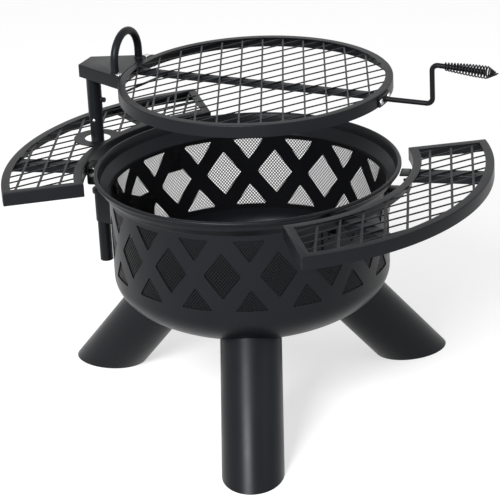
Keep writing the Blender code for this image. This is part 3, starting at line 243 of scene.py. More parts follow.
class LegSizes(bpy.types.PropertyGroup):
    radius: length("Radius", "Outer radius of a leg's tube", 0.0604)
    tilt: angle("Tilt", "Lean of a leg from upright", 40.279)
    foot_radius: length("Foot circle", "Distance of a foot's middle from the bowl's axis", 0.368)
    first: angle("Front leg", "Direction of the front leg", -92.9)
    edge: length("Foot edge", "Rounding of the foot's edge", 0.0016)
    drain: length("Drain hole", "Radius of the drain hole in the foot plate", 0.004)
    bolt_spread: length("Bolt spread", "Distance of a leg's bolts from its middle plane", 0.030)
    steps: count("Steps", "Faces around a leg", 128)


class ShelfSizes(bpy.types.PropertyGroup):
    top: length("Top", "Height of the shelves' top", 0.4965)
    inner: length("Inner radius", "Radius of a shelf's inner wall", 0.327)
    outer: length("Outer radius", "Radius of a shelf's outer wall", 0.487)
    span: angle("Span", "Angle that a shelf covers", 88.6)
    left: angle("Left shelf", "Direction of the left shelf's middle", 146.7)
    right: angle("Right shelf", "Direction of the right shelf's middle", -35.2)
    depth: length("Depth", "Height of a shelf's walls", 0.026)
    flange: length("Flange", "Width of the flange round the mesh", 0.0175)
    sheet: length("Sheet", "Thickness of the shelves' steel", 0.0018)
    bend: length("Bend", "Outer radius of the bend between flange and wall", 0.0024)
    ring: length("Post ring", "Outer radius of the ring round the post", 0.049)
    hole: length("Post hole", "Radius of the hole for the post", 0.0265)
    steps: count("Steps", "Faces along a shelf's arc", 60)


class NetSizes(bpy.types.PropertyGroup):
    thickness: length("Thickness", "Thickness of the expanded metal", 0.0024)
    edge: length("Edge", "Rounding of the strands' edges", 0.0007)
    inset: length("Inset", "Gap between the mesh's border and the wall round it", 0.0010)
    shelf_first: angle("Shelf strands 1", "Direction of the shelves' wide strands", 85)
    shelf_second: angle("Shelf strands 2", "Direction of the shelves' narrow strands", 29)
    shelf_spacing_first: length("Shelf spacing 1", "Spacing of the wide strands", 0.0338)
    shelf_spacing_second: length("Shelf spacing 2", "Spacing of the narrow strands", 0.0320)
    shelf_strand_first: length("Shelf width 1", "Width of the wide strands", 0.0050)
    shelf_strand_second: length("Shelf width 2", "Width of the narrow strands", 0.0034)
    grate_first: angle("Grate strands 1", "Direction of the grate's wide strands", 88.2)
    grate_second: angle("Grate strands 2", "Direction of the grate's narrow strands", 30)
    grate_spacing_first: length("Grate spacing 1", "Spacing of the wide strands", 0.0279)
    grate_spacing_second: length("Grate spacing 2", "Spacing of the narrow strands", 0.0315)
    grate_strand_first: length("Grate width 1", "Width of the wide strands", 0.0036)
    grate_strand_second: length("Grate width 2", "Width of the narrow strands", 0.0028)


class CarrierSizes(bpy.types.PropertyGroup):
    width: length("Arm width", "Width of a channel under a shelf", 0.030)
    depth: length("Arm depth", "Depth of a channel under a shelf", 0.018)
    sheet: length("Arm sheet", "Thickness of the channel's steel", 0.0018)
    strap_width: length("Bracket width", "Width of a bracket's strap", 0.036)
    strap_sheet: length("Bracket sheet", "Thickness of a bracket's strap", 0.003)
    bend: length("Bracket bend", "Height at which the bracket turns outwards", 0.4515)
    wall_plate: length("Wall plate", "Height of the bracket's plate on the bowl", 0.0515)
    below_shelf: length("Below shelf", "Height of the shelf's top above the bracket", 0.006)
    upper_bolt: length("Upper bolt", "Depth of the upper wall bolt below the bend", 0.009)
    lower_bolt: length("Lower bolt", "Depth of the lower wall bolt below the bend", 0.0205)
    shelf_bolt: length("Shelf bolt", "Depth of the shelf bolt below the shelf's top", 0.023)


class PostSizes(bpy.types.PropertyGroup):
    distance: length("Distance", "Distance of the post from the bowl's axis", 0.3645)
    azimuth: angle("Direction", "Direction of the post from the bowl's axis", 146.5)
    radius: length("Radius", "Outer radius of the post", 0.0135)
    sheet: length("Sheet", "Thickness of the post's wall", 0.0015)
    bottom: length("Bottom", "Height of the post's lower end", 0.2245)
    top: length("Top", "Height of the post's upper end", 0.640)
    holder_bottom: length("Holder bottom", "Height of the holder's lower edge", 0.314)
    holder_top: length("Holder top", "Height of the holder's upper edge", 0.375)
    holder_sheet: length("Holder sheet", "Thickness of the holder's strap", 0.002)
    holder_flange: length("Holder flange", "Distance of the flanges' ends from the middle", 0.054)
    holder_bolt: length("Holder bolt", "Distance of the bolts from the middle", 0.045)
    holder_bolt_depth: length("Holder bolt depth", "Depth of the bolts below the upper edge", 0.013)
    collar_wall: length("Collar wall", "Width of the collar round the post", 0.0062)
    collar_height: length("Collar height", "Height of the collar", 0.010)
    steps: count("Steps", "Faces around the post", 64)


class GrateSizes(bpy.types.PropertyGroup):
    top: length("Top", "Height of the grate's top", 0.661)
    radius: length("Radius", "Outer radius of the ring", 0.2713)
    wall: length("Wall", "Height of the ring's wall", 0.024)
    flange: length("Flange", "Width of the ring's flange", 0.0155)
    sheet: length("Sheet", "Thickness of the ring's steel", 0.0018)
    bend: length("Bend", "Outer radius of the bend between flange and wall", 0.0022)
    azimuth: angle("Arm direction", "Direction in which the arm points", -25.7)
    ear_width: length("Ear width", "Width of the ears under the arm", 0.011)
    ear_length: length("Ear length", "Length of the ears under the arm", 0.013)
    bar_width: length("Crossbar width", "Width of the crossbar", 0.018)
    bar_depth: length("Crossbar depth", "Depth of the crossbar", 0.011)
    bar_sheet: length("Crossbar sheet", "Thickness of the crossbar's steel", 0.002)
    brace_width: length("Brace width", "Width of the brace", 0.005)
    brace_depth: length("Brace depth", "Depth of the brace", 0.003)
    brace_angle: angle("Brace angle", "Angle between the brace and the crossbar", 76)
    brace_start: length("Brace start", "Distance from the ring at which the brace starts", 0.0813)
    steps: count("Steps", "Faces around the ring", 240)


class ArmSizes(bpy.types.PropertyGroup):
    sheet: length("Sheet", "Thickness of the arm's steel", 0.002)
    depth: length("Depth", "Height of the arm's walls", 0.026)
    back: length("Back", "How far the arm reaches behind the post's axis", 0.0178)
    back_width: length("Back width", "Width of the arm's back", 0.054)
    front_width: length("Front width", "Width of the arm at the ring", 0.154)
    gap: length("Gap", "Gap between the arm and the ring", 0.0006)
    bend: length("Bend", "Outer radius of the arm's bends", 0.0022)
    tube: length("Handle tube", "Radius of the lifting handle's tube", 0.008)
    spread: length("Handle spread", "Distance of the handle's legs from its middle", 0.052)
    from_ring: length("Handle place", "Distance of the handle from the ring", 0.0132)
    straight: length("Handle straight", "Height of the handle's straight legs", 0.018)
    screw_spread: length("Screw spread", "Distance of the screws from the arm's middle", 0.062)
    screw_from_ring: length("Screw place", "Distance of the screws from the ring", 0.0071)


class SleeveSizes(bpy.types.PropertyGroup):
    sheet: length("Sheet", "Thickness of the sleeve's wall", 0.0011)
    bottom: length("Bottom", "Height of the sleeve's lower end", 0.5415)
    thumb_above_end: length("Thumb screw place", "Height of the thumb screw above the sleeve's end", 0.0385)
    thumb_radius: length("Thumb screw", "Radius of the thumb screw's shank", 0.0025)
    knob_radius: length("Knob radius", "Radius of the thumb screw's knob", 0.0052)
    knob_length: length("Knob length", "Length of the thumb screw's knob", 0.0045)
    nut_radius: length("Nut radius", "Radius of the nut on the sleeve", 0.0055)
    nut_length: length("Nut length", "Length of the nut on the sleeve", 0.0035)
    button_radius: length("Button radius", "Radius of the snap button", 0.003)
    button_proud: length("Button proud", "How far the button stands out of the post", 0.0035)
    button_azimuth: angle("Button direction", "Direction in which the button points", -105)
    leaf_length: length("Leaf length", "Length of the button's spring leaf", 0.030)
    leaf_sheet: length("Leaf sheet", "Thickness of the spring leaf", 0.001)


class HandleSizes(bpy.types.PropertyGroup):
    plate_width: length("Plate width", "Width of the handle's plate", 0.052)
    plate_height: length("Plate height", "Height of the handle's plate", 0.021)
    plate_sheet: length("Plate sheet", "Thickness of the handle's plate", 0.0025)
    plate_corner: length("Plate corner", "Rounding of the plate's corners", 0.003)
    screw_spread: length("Screw spread", "Distance of the screws from the middle", 0.018)
    below_grate: length("Below grate", "Depth of the rod below the grate's top", 0.0145)
    rod: length("Rod", "Radius of the rod", 0.005)
    riser: length("Riser", "Distance of the riser from the ring", 0.1005)
    rise: length("Rise", "Height that the rod rises", 0.0785)
    bend: length("Bend", "Radius of the rod's bends", 0.012)
    droop: angle("Droop", "How far the grip points down", 2.5)
    rod_end: length("Rod end", "Distance of the rod's end from the riser", 0.1078)
    wire: length("Wire", "Radius of the grip's wire", 0.0014)
    grip_start: length("Grip start", "Distance of the grip from the riser", 0.023)
    grip_length: length("Grip length", "Length of the spring grip", 0.109)
    grip_radius: length("Grip radius", "Radius of the grip's widest curl, at the wire's middle", 0.0115)
    turns: count("Turns", "Curls of the spring grip before its cone", 14)
    cone_turns: count("Cone turns", "Curls of the grip's closing cone", 5)
    cone_length: length("Cone length", "Length of the grip's closing cone", 0.0184)
    points: count("Points", "Points in each curl", 20)


class FastenerSizes(bpy.types.PropertyGroup):
    shank: length("Shank", "Radius of a bolt's shank", 0.003)
    head: length("Head", "Radius of a head across its corners", 0.0062)
    head_height: length("Head height", "Height of a head", 0.004)
    nut: length("Nut", "Radius of a nut across its corners", 0.0060)
    nut_height: length("Nut height", "Height of a nut", 0.005)
    seat_room: length("Seat room", "Room under a flat seat on a curved sheet", 0.0008)
    tail: length("Tail", "Thread that shows past a shelf bolt's nut", 0.006)
    leg_plate: length("Leg plate", "Thickness of the plate at a leg's top", 0.003)


class Finishes(bpy.types.PropertyGroup):
    coat: colour("Powder coat", "Colour of the satin powder coat", (0.0063, 0.0067, 0.0080))
    coat_roughness: share("Powder coat roughness", "Roughness of the satin powder coat", 0.36)
    wire: colour("Black paint", "Colour of the glossier black paint", (0.0045, 0.0045, 0.0050))
    wire_roughness: share("Black paint roughness", "Roughness of the glossier black paint", 0.34)
    zinc: colour("Zinc", "Colour of the bright fasteners", (0.62, 0.62, 0.61))
    zinc_roughness: share("Zinc roughness", "Roughness of the bright fasteners", 0.30)


class StudioSettings(bpy.types.PropertyGroup):
    camera_distance: length("Camera distance", "Distance of the camera from its target", 4.8357)
    camera_height: length("Target height", "Height on the bowl's axis that the camera looks at", 0.3129)
    camera_tilt: angle("Tilt", "How far the camera looks down", 23.021444)
    camera_roll: angle("Roll", "Roll of the camera", -2.933544)
    camera_pan: angle("Pan", "Turn of the camera", 0.040107)
    lens: amount("Lens", "Focal length in millimetres", 173.354)
    key_power: amount("Key power", "Power of the key lamp in watts", 280)
    fill_power: amount("Fill power", "Power of the fill lamp in watts", 12)
    dome: amount("Dome", "Strength of the even light all round", 0.5)
    floor: colour("Floor", "Colour of the floor", (0.50, 0.50, 0.50))


GROUPS = {
    "bowl": BowlSizes,
    "cutouts": CutoutSizes,
    "screen": ScreenSizes,
    "legs": LegSizes,
    "shelves": ShelfSizes,
    "nets": NetSizes,
    "carriers": CarrierSizes,
    "post": PostSizes,
    "grate": GrateSizes,
    "arm": ArmSizes,
    "sleeve": SleeveSizes,
    "handle": HandleSizes,
    "fasteners": FastenerSizes,
    "finishes": Finishes,
    "studio": StudioSettings,
}


def sizes(group):
    """The property group of that name."""
    return getattr(bpy.context.scene, f"fire_pit_{group}")


def polar(radius, azimuth, height=0.0):
    """A point by its distance and direction from the Z axis."""
    return Vector((radius * cos(azimuth), radius * sin(azimuth), height))


def only(piece):
    """Make one piece the selected and active object."""
    bpy.ops.object.select_all(action="DESELECT")
    piece.select_set(True)
    bpy.context.view_layer.objects.active = piece


def select_by(kind):
    """Turn to selecting vertices, edges or faces, with nothing selected."""
    bpy.context.tool_settings.mesh_select_mode = [kind == each for each in ("VERT", "EDGE", "FACE")]
    bpy.ops.mesh.select_all(action="DESELECT")


def edit(piece, kind="VERT"):
    """Enter edit mode on one piece with nothing of it selected."""
    only(piece)
    bpy.ops.object.mode_set(mode="EDIT")
    select_by(kind)


def leave():
    bpy.ops.object.mode_set(mode="OBJECT")


def pick_all():
    bpy.ops.mesh.select_all(action="SELECT")


def pick(kind, test):
    """Select the vertices, edges or faces that pass a test, in the piece that is in edit mode."""
    select_by(kind)
    data = bpy.context.edit_object.data
    shape = bmesh.from_edit_mesh(data)
    for item in {"VERT": shape.verts, "EDGE": shape.edges, "FACE": shape.faces}[kind]:
        if test(item):
            item.select_set(True)
    shape.select_flush_mode()
    bmesh.update_edit_mesh(data)


def remove(kind, test):
    """Delete the vertices or faces that pass a test."""
    pick(kind, test)
    bpy.ops.mesh.delete(type=kind)


def move(x=0.0, y=0.0, z=0.0):
    bpy.ops.transform.translate(value=(x, y, z))


def stretch(x=1.0, y=1.0, z=1.0, about=(0, 0, 0)):
    bpy.ops.transform.resize(value=(x, y, z), center_override=about)


def pull(x=0.0, y=0.0, z=0.0):
    """Extrude what is selected."""
    bpy.ops.mesh.extrude_region_move(TRANSFORM_OT_translate={"value": (x, y, z)})


def bevel(width, steps=CORNER_STEPS, affect="EDGES"):
    """Round the selected edges or corners."""
    bpy.ops.mesh.bevel(offset=width, segments=steps, affect=affect)


def outwards():
    """Merge doubles and point all faces outwards, in edit mode.

    Blender can turn a closed piece that is bent like a bow inside out, so its volume is looked at.
    """
    pick_all()
    bpy.ops.mesh.remove_doubles(threshold=MERGE)
    bpy.ops.mesh.normals_make_consistent(inside=False)
    shape = bmesh.from_edit_mesh(bpy.context.edit_object.data)
    closed = all(len(edge.link_faces) == 2 for edge in shape.edges)
    if closed and shape.calc_volume(signed=True) < 0:
        bpy.ops.mesh.flip_normals()


def spin(turn_angle, steps, copies):
    """Draw what is selected round the Z axis, or repeat it there, by the right-hand rule.

    The operator turns the other way.
    """
    bpy.ops.mesh.spin(steps=steps, dupli=copies, angle=-turn_angle, center=(0, 0, 0), axis=(0, 0, 1))


def repeat_round(number):
    """Repeat all of the piece that is in edit mode round the Z axis."""
    pick_all()
    spin(2 * pi * (number - 1) / number, number - 1, True)


def modify(piece, kind, **settings):
    """Add a modifier to a piece and apply it."""
    modifier = piece.modifiers.new(kind.lower(), kind)
    for key, value in settings.items():
        setattr(modifier, key, value)
    only(piece)
    bpy.ops.object.modifier_apply(modifier=modifier.name)


def thicken(piece, sheet, offset=-1.0):
    modify(piece, "SOLIDIFY", thickness=sheet, offset=offset, use_even_offset=True, use_quality_normals=True)


def soften(piece, width, segments=2, limit=40):
    """Round a piece's sharp edges."""
    modify(piece, "BEVEL", width=width, segments=segments, limit_method="ANGLE", angle_limit=radians(limit))


def cut(piece, tool, operation="DIFFERENCE", solver="EXACT"):
    """Cut a piece by another one, which is used up."""
    modify(piece, "BOOLEAN", object=tool, operation=operation, solver=solver)
    bpy.data.objects.remove(tool)


def place(piece, matrix):
    """Move a piece by a matrix of turns and moves, and apply it to its mesh."""
    only(piece)
    piece.matrix_world = matrix @ piece.matrix_world
    bpy.ops.object.transform_apply(location=True, rotation=True, scale=True)


def turn(piece, azimuth):
    """Turn a piece round the Z axis."""
    place(piece, Matrix.Rotation(azimuth, 4, "Z"))


def copy(piece, name, matrix):
    """A copy of a piece with a mesh of its own, moved by a matrix."""
    other = bpy.data.objects.new(name, piece.data.copy())
    bpy.context.scene.collection.objects.link(other)
    place(other, matrix)
    return other


def join(name, pieces):
    """Join pieces into the first of them."""
    only(pieces[0])
    for piece in pieces:
        piece.select_set(True)
    bpy.ops.object.join()
    pieces[0].name = name
    return pieces[0]


def rounded(points, radius):
    """A line's points with its inner corners rounded."""
    line = [points[0]]
    for before, corner, after in zip(points, points[1:], points[2:]):
        back = (before - corner).normalized()
        on = (after - corner).normalized()
        reach = radius / tan(back.angle(on) / 2)
        start = corner + back * reach
        end = corner + on * reach
        for i in range(CORNER_STEPS + 1):
            t = i / CORNER_STEPS
            line.append(start.lerp(corner, t).lerp(corner.lerp(end, t), t))
    line.append(points[-1])
    return line


def beside(points, distance):
    """A line beside another one in a plane, at a distance to its left."""
    line = []
    for i, point in enumerate(points):
        before = points[max(i - 1, 0)]
        after = points[min(i + 1, len(points) - 1)]
        first = (point - before).normalized() if point != before else (after - point).normalized()
        second = (after - point).normalized() if point != after else first
        run = (first + second).normalized()
        slant = max(run.dot(first), SHARPEST)
        line.append(point + Vector((-run.y, run.x)) * distance / slant)
    return line


def arc(centre, radius, start, end, steps):
    """Points along an arc in a plane, both ends included."""
    turns = [start + (end - start) * i / steps for i in range(steps + 1)]
    return [Vector((centre[0] + radius * cos(a), centre[1] + radius * sin(a))) for a in turns]


def primitive(name, kind, **settings):
    """One of Blender's mesh primitives, with its place and size in its mesh."""
    bpy.ops.object.select_all(action="DESELECT")
    getattr(bpy.ops.mesh, f"primitive_{kind}_add")(**settings)
    piece = bpy.context.object
    piece.name = name
    bpy.ops.object.transform_apply(location=True, rotation=True, scale=True)
    return piece


def turned(name, profile, steps, on_axis=False):
    """A turned piece: a circle drawn along a profile of (radius, height), then bridged or capped."""
    rings = [Vector(ring) for ring in profile]
    radius, height = rings[0]
    piece = primitive(name, "circle", vertices=steps, radius=radius, fill_type="NOTHING")
    edit(piece, "EDGE")
    pick_all()
    move(z=height)
    for next_radius, next_height in rings[1:]:
        pull(z=next_height - height)
        if abs(next_radius - radius) > SAME:
            stretch(next_radius / radius, next_radius / radius)
        radius, height = next_radius, next_height
    pick("EDGE", lambda edge: edge.is_boundary)
    if on_axis:
        bpy.ops.mesh.fill_holes(sides=0)
        pick("FACE", lambda face: len(face.verts) > 4)
        bpy.ops.mesh.poke()
    else:
        bpy.ops.mesh.bridge_edge_loops()
    outwards()
    leave()
    return piece


def block(name, low, high):
    """A cube stretched between two corners."""
    size = [h - l for l, h in zip(low, high)]
    centre = [(h + l) / 2 for l, h in zip(low, high)]
    return primitive(name, "cube", size=1, location=centre, scale=size)


def pin(name, radius, start, end, steps):
    """A cylinder between two points, for use as a tool or as the start of a piece."""
    run = Vector(end) - Vector(start)
    centre = (Vector(start) + Vector(end)) / 2
    rotation = run.to_track_quat("Z", "Y").to_euler()
    return primitive(
        name, "cylinder", vertices=steps, radius=radius, depth=run.length, location=centre, rotation=rotation
    )


def channel(name, low, high, sheet, bend):
    """A channel along X, open below and at both ends, with rounded bends."""
    piece = block(name, low, high)
    edit(piece)
    remove("FACE", lambda face: face.normal.z < -FACING or abs(face.normal.x) > FACING)
    pick("EDGE", lambda edge: not edge.is_boundary)
    bevel(bend, FOLD_STEPS)
    leave()
    thicken(piece, sheet)
    return piece


def strap(name, line, half, middle=0.0, upright=False):
    """A sheet drawn along a line, which reaches half to each side of it.

    The line is of (x, z) points and the sheet's width lies along Y, or for an upright sheet the line is of
    (x, y) points at the height of the sheet's middle.
    """
    tilt = pi / 2 if upright else 0
    piece = primitive(name, "plane", size=2 * half, location=(0, 0, middle), rotation=(tilt, 0, 0))
    edit(piece)
    remove("VERT", lambda vert: vert.co.x > 0)
    pick_all()
    steps = [(line[0][0] + half, line[0][1])]
    steps += [(after[0] - before[0], after[1] - before[1]) for before, after in zip(line, line[1:])]
    for number, (x, other) in enumerate(steps):
        way = (x, other, 0) if upright else (x, 0, other)
        if number:
            pull(*way)
        else:
            move(*way)
    outwards()
    leave()
    return piece


def tube(name, radius, points, steps):
    """A round bar along a line of points, its ends capped."""
    curve = bpy.data.curves.new(f"{name}_line", "CURVE")
    curve.dimensions = "3D"
    curve.bevel_depth = radius
    curve.bevel_resolution = steps // 4 - 1
    curve.use_fill_caps = True
    spline = curve.splines.new("POLY")
    spline.points.add(len(points) - 1)
    for spot, point in zip(spline.points, points):
        spot.co = (*point, 1)
    piece = bpy.data.objects.new(name, curve)
    bpy.context.scene.collection.objects.link(piece)
    only(piece)
    bpy.ops.object.convert(target="MESH")
    edit(piece)
    outwards()
    leave()
    return piece


def connect(tree, node, inputs):
    """Set a shader node's inputs: an output of another node is linked, and anything else is a value."""
    for key, value in inputs.items():
        if isinstance(value, bpy.types.NodeSocket):
            tree.links.new(value, node.inputs[key])
        else:
            node.inputs[key].default_value = value
    return node.outputs


def outputs_of(tree, kind, inputs=None, **settings):
    """Add a shader node with its settings and inputs, and give its outputs."""
    node = tree.nodes.new(f"ShaderNode{kind}")
    for key, value in settings.items():
        setattr(node, key, value)
    return connect(tree, node, inputs or {})


def coat_material(name, base, roughness, grain, metallic):
    """A painted or plated finish: a fine orange-peel bump and slow changes of gloss and shade."""
    material = bpy.data.materials.new(name)
    material.use_nodes = True
    tree = material.node_tree
    spot = outputs_of(tree, "TexCoord")["Object"]
    slow = outputs_of(tree, "TexNoise", {"Vector": spot, "Scale": SLOW_GRAIN, "Detail": SLOW_DETAIL})["Fac"]
    fine = outputs_of(tree, "TexNoise", {"Vector": spot, "Scale": grain, "Detail": FINE_DETAIL})["Fac"]
    shades = {
        "Factor": slow,
        "A": (*[c * DARK_PATCH for c in base], 1),
        "B": (*[c * PALE_PATCH for c in base], 1),
    }
    gloss = {
        "Value": slow,
        "From Min": PATCH_RANGE[0],
        "From Max": PATCH_RANGE[1],
        "To Min": roughness - GLOSS_CHANGE,
        "To Max": roughness + GLOSS_CHANGE,
    }
    bump = {"Strength": BUMP_STRENGTH, "Distance": BUMP_HEIGHT, "Height": fine}
    surface = {
        "Metallic": metallic,
        "Specular IOR Level": PAINT_SHINE,
        "Specular Tint": SHINE_TINT,
        "Base Color": outputs_of(tree, "Mix", shades, data_type="RGBA")["Result"],
        "Roughness": outputs_of(tree, "MapRange", gloss)["Result"],
        "Normal": outputs_of(tree, "Bump", bump)["Normal"],
    }
    connect(tree, tree.nodes["Principled BSDF"], surface)
    return material


def material_of(slot):
    """The material of a slot of the record, made the first time that it is asked for."""
    finishes = sizes("finishes")
    looks = {
        "powder_coat": ("satin_coat", finishes.coat, finishes.coat_roughness, COAT_GRAIN, 0.0),
        "black_wire": ("black_paint", finishes.wire, finishes.wire_roughness, COAT_GRAIN, 0.0),
        "zinc_steel": ("bright_zinc", finishes.zinc, finishes.zinc_roughness, ZINC_GRAIN, 1.0),
    }
    if slot not in MADE:
        MADE[slot] = coat_material(*looks[slot])
    return MADE[slot]


def finish(piece, body, slot, node, smooth=38):
    """Shade a piece, give it its finish, parent it to its body's empty, and hide the CAD node that it stands
    for.
    """
    only(piece)
    bpy.ops.object.transform_apply(location=True, rotation=True, scale=True)
    bpy.ops.object.shade_smooth_by_angle(angle=radians(smooth))
    piece.data.materials.clear()
    piece.data.materials.append(material_of(slot))
    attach(piece, body)
    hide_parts(node)


def finish_copies(model, body, slot, places, smooth=38):
    """Finish a copy of a model for each node, placed by the node's matrix, and use up the model.

    A copy's name is its node's name and the model's.
    """
    for node, matrix in places.items():
        finish(copy(model, f"{node}_{model.name}", matrix), body, slot, node, smooth)
    bpy.data.objects.remove(model)


def round_bowl(azimuths):
    """Matrices that turn a model from +X to the azimuth of each node."""
    return {node: Matrix.Rotation(azimuth, 4, "Z") for node, azimuth in azimuths.items()}


def bowl_line(grow=0.0):
    """The outer line of the bowl's section, from its lowest ring up, moved out by grow.

    As drawn it ends at the bead, and moved out it ends at the top of the straight wall.
    """
    bowl = sizes("bowl")
    rings = bowl.bottom_rings
    wall_top = bowl.wall_bottom + bowl.wall_height
    line = []
    for i in range(rings):
        t = (1 - (i + 0.5) / (rings + 0.5)) * pi / 2
        depth = (bowl.bottom_depth + grow) * sin(t)
        line.append(Vector(((bowl.radius + grow) * cos(t), bowl.wall_bottom - depth)))
    if grow:
        return line + [Vector((bowl.radius + grow, bowl.wall_bottom)), Vector((bowl.radius + grow, wall_top))]
    flare = bowl.radius + bowl.flare_overhang
    flare_top = wall_top + bowl.flare_height
    corners = [
        Vector((bowl.radius, bowl.wall_bottom)),
        Vector((bowl.radius, wall_top)),
        Vector((flare, flare_top)),
        Vector((flare + bowl.sheet, flare_top + bowl.rim_height - 2 * bowl.bead)),
    ]
    return line + rounded(corners, bowl.flare_bend)


def prism(name, corners, base, width, height, rounding):
    """A cutout's tool: a triangle or diamond with rounded corners, standing through the wall at azimuth 0.

    It starts with its corners on a circle of radius 1, where a triangle is sqrt(3) wide and 1.5 high, with
    its base at -0.5, and a diamond is 2 wide and high.
    """
    inside = sizes("bowl").radius - CUT_REACH / 2
    piece = primitive(
        name, "circle", vertices=corners, radius=1, fill_type="NGON", rotation=(pi / 2, 0, pi / 2),
        location=(inside, 0, 0),
    )
    edit(piece)
    pick_all()
    if corners == 3:
        stretch(y=width / sqrt(3), z=height / 1.5, about=(inside, 0, -0.5))
        move(z=base + 0.5)
    else:
        stretch(y=width / 2, z=height / 2, about=(inside, 0, 0))
        move(z=base)
    bevel(rounding, affect="VERTICES")
    pick_all()
    pull(x=CUT_REACH)
    outwards()
    leave()
    return piece


class FIREPIT_OT_bowl(bpy.types.Operator):
    """Model the bowl: a turned shell with a rolled rim and three rows of cutouts"""

    bl_idname = "fire_pit.bowl"
    bl_label = "Bowl"

    def execute(self, context):
        bowl = sizes("bowl")
        outer = bowl_line()
        inner = beside(outer, bowl.sheet)
        rim_top = bowl.wall_bottom + bowl.wall_height + bowl.flare_height + bowl.rim_height
        bead = (bowl.radius + bowl.rim_overhang - bowl.bead, rim_top - bowl.bead)
        profile = inner + arc(bead, bowl.bead, BEAD_START, BEAD_END, BEAD_STEPS) + outer[::-1]
        shell = turned("bowl_shell", profile, bowl.steps, on_axis=True)
        cutouts = sizes("cutouts")
        half_pitch = pi / cutouts.around
        rounding = cutouts.rounding
        upper = prism("upper", 3, -cutouts.upper_base, cutouts.upper_width, cutouts.upper_height, rounding)
        edit(upper)
        pick_all()
        stretch(z=-1)
        outwards()
        leave()
        turn(upper, half_pitch)
        lower = prism("lower", 3, cutouts.lower_base, cutouts.lower_width, cutouts.lower_height, rounding)
        turn(lower, half_pitch)
        middle = (cutouts.upper_base + cutouts.lower_base) / 2
        rounding *= DIAMOND_ROUNDING
        diamond = prism("diamond", 4, middle, cutouts.diamond_width, cutouts.diamond_height, rounding)
        tool = join("cutouts", [diamond, upper, lower])
        turn(tool, cutouts.first)
        edit(tool)
        repeat_round(cutouts.around)
        leave()
        cut(shell, tool)
        finish(shell, "fire_pit", "powder_coat", "fire_bowl")
        return {"FINISHED"}


class FIREPIT_OT_screen(bpy.types.Operator):
    """Model the spark screen: two crossing layers of slanted strands inside the bowl's wall"""

    bl_idname = "fire_pit.screen"
    bl_label = "Spark screen"

    def execute(self, context):
        bowl = sizes("bowl")
        cutouts = sizes("cutouts")
        screen = sizes("screen")
        low = cutouts.lower_base - screen.margin
        high = cutouts.upper_base + screen.margin
        outer = bowl.radius - bowl.sheet - GAP
        layer = screen.sheet / 2
        around = round(2 * pi * outer / screen.cell_width)
        slant = (high - low) * screen.cell_width / screen.cell_height / outer
        upright = screen.strand * hypot(screen.cell_width, screen.cell_height) / screen.cell_width
        layers = []
        for number, radius in enumerate((outer - layer, outer - 2 * layer)):
            corner = (radius + layer, layer / 2, low + upright)
            strand = block(f"strand_{number}", (radius, -layer / 2, low), corner)
            edit(strand)
            remove("FACE", lambda face: face.normal.y > -FACING)
            pick("FACE", lambda face: True)
            bpy.ops.mesh.delete(type="ONLY_FACE")
            leave()
            modify(
                strand, "SCREW", axis="Z", angle=slant, screw_offset=high - low - upright,
                steps=screen.strand_steps, render_steps=screen.strand_steps, use_merge_vertices=False,
            )
            edit(strand)
            pick_all()
            bpy.ops.mesh.fill_holes(sides=0)
            if number:
                pick_all()
                stretch(y=-1)
            outwards()
            repeat_round(around)
            leave()
            layers.append(strand)
        inner = outer - screen.sheet
        for name, bottom in (("screen_bottom", low), ("screen_top", high - screen.border)):
            top = bottom + screen.border
            profile = [(inner, top), (outer, top), (outer, bottom), (inner, bottom)]
            layers.append(turned(name, profile, bowl.steps // 2))
        finish(join("spark_mesh", layers), "fire_pit", "black_wire", "spark_screen", smooth=30)
        return {"FINISHED"}


def leg_seat():
    """The height at which a leg's axis meets the bowl's underside."""
    bowl = sizes("bowl")
    legs = sizes("legs")
    lean = tan(legs.tilt)
    wide = bowl.radius**2
    deep = bowl.bottom_depth**2
    a = lean**2 / wide + 1 / deep
    b = legs.foot_radius * lean / wide + bowl.wall_bottom / deep
    c = legs.foot_radius**2 / wide + bowl.wall_bottom**2 / deep - 1
    return (b - sqrt(b**2 - a * c)) / a


class FIREPIT_OT_legs(bpy.types.Operator):
    """Model the legs: tubes cut level at the ground and to the bowl's shape at the top"""

    bl_idname = "fire_pit.legs"
    bl_label = "Legs"

    def execute(self, context):
        legs = sizes("legs")
        run = Vector((-sin(legs.tilt), 0, cos(legs.tilt)))
        foot = Vector((legs.foot_radius, 0, 0))
        top = foot + run * (leg_seat() / cos(legs.tilt) + LEG_PAST * legs.radius)
        leg = pin("tube", legs.radius, foot - run * 2 * legs.radius, top, legs.steps)
        edit(leg)
        pick_all()
        bpy.ops.mesh.bisect(plane_co=(0, 0, 0), plane_no=(0, 0, 1), use_fill=True, clear_inner=True)
        pick("EDGE", lambda edge: max(abs(v.co.z) for v in edge.verts) < MERGE)
        bevel(legs.edge, 3)
        leave()
        cut(leg, turned("bowl_bulk", bowl_line(GAP), sizes("bowl").steps, on_axis=True))
        drain = Vector((0, 0, DRAIN_DEPTH))
        cut(leg, pin("drain", legs.drain, foot - drain, foot + drain, HOLE_STEPS))
        turn(leg, legs.first)
        azimuths = {node: number * 2 * pi / len(LEGS) for number, node in enumerate(LEGS)}
        finish_copies(leg, "fire_pit", "powder_coat", round_bowl(azimuths), smooth=30)
        return {"FINISHED"}


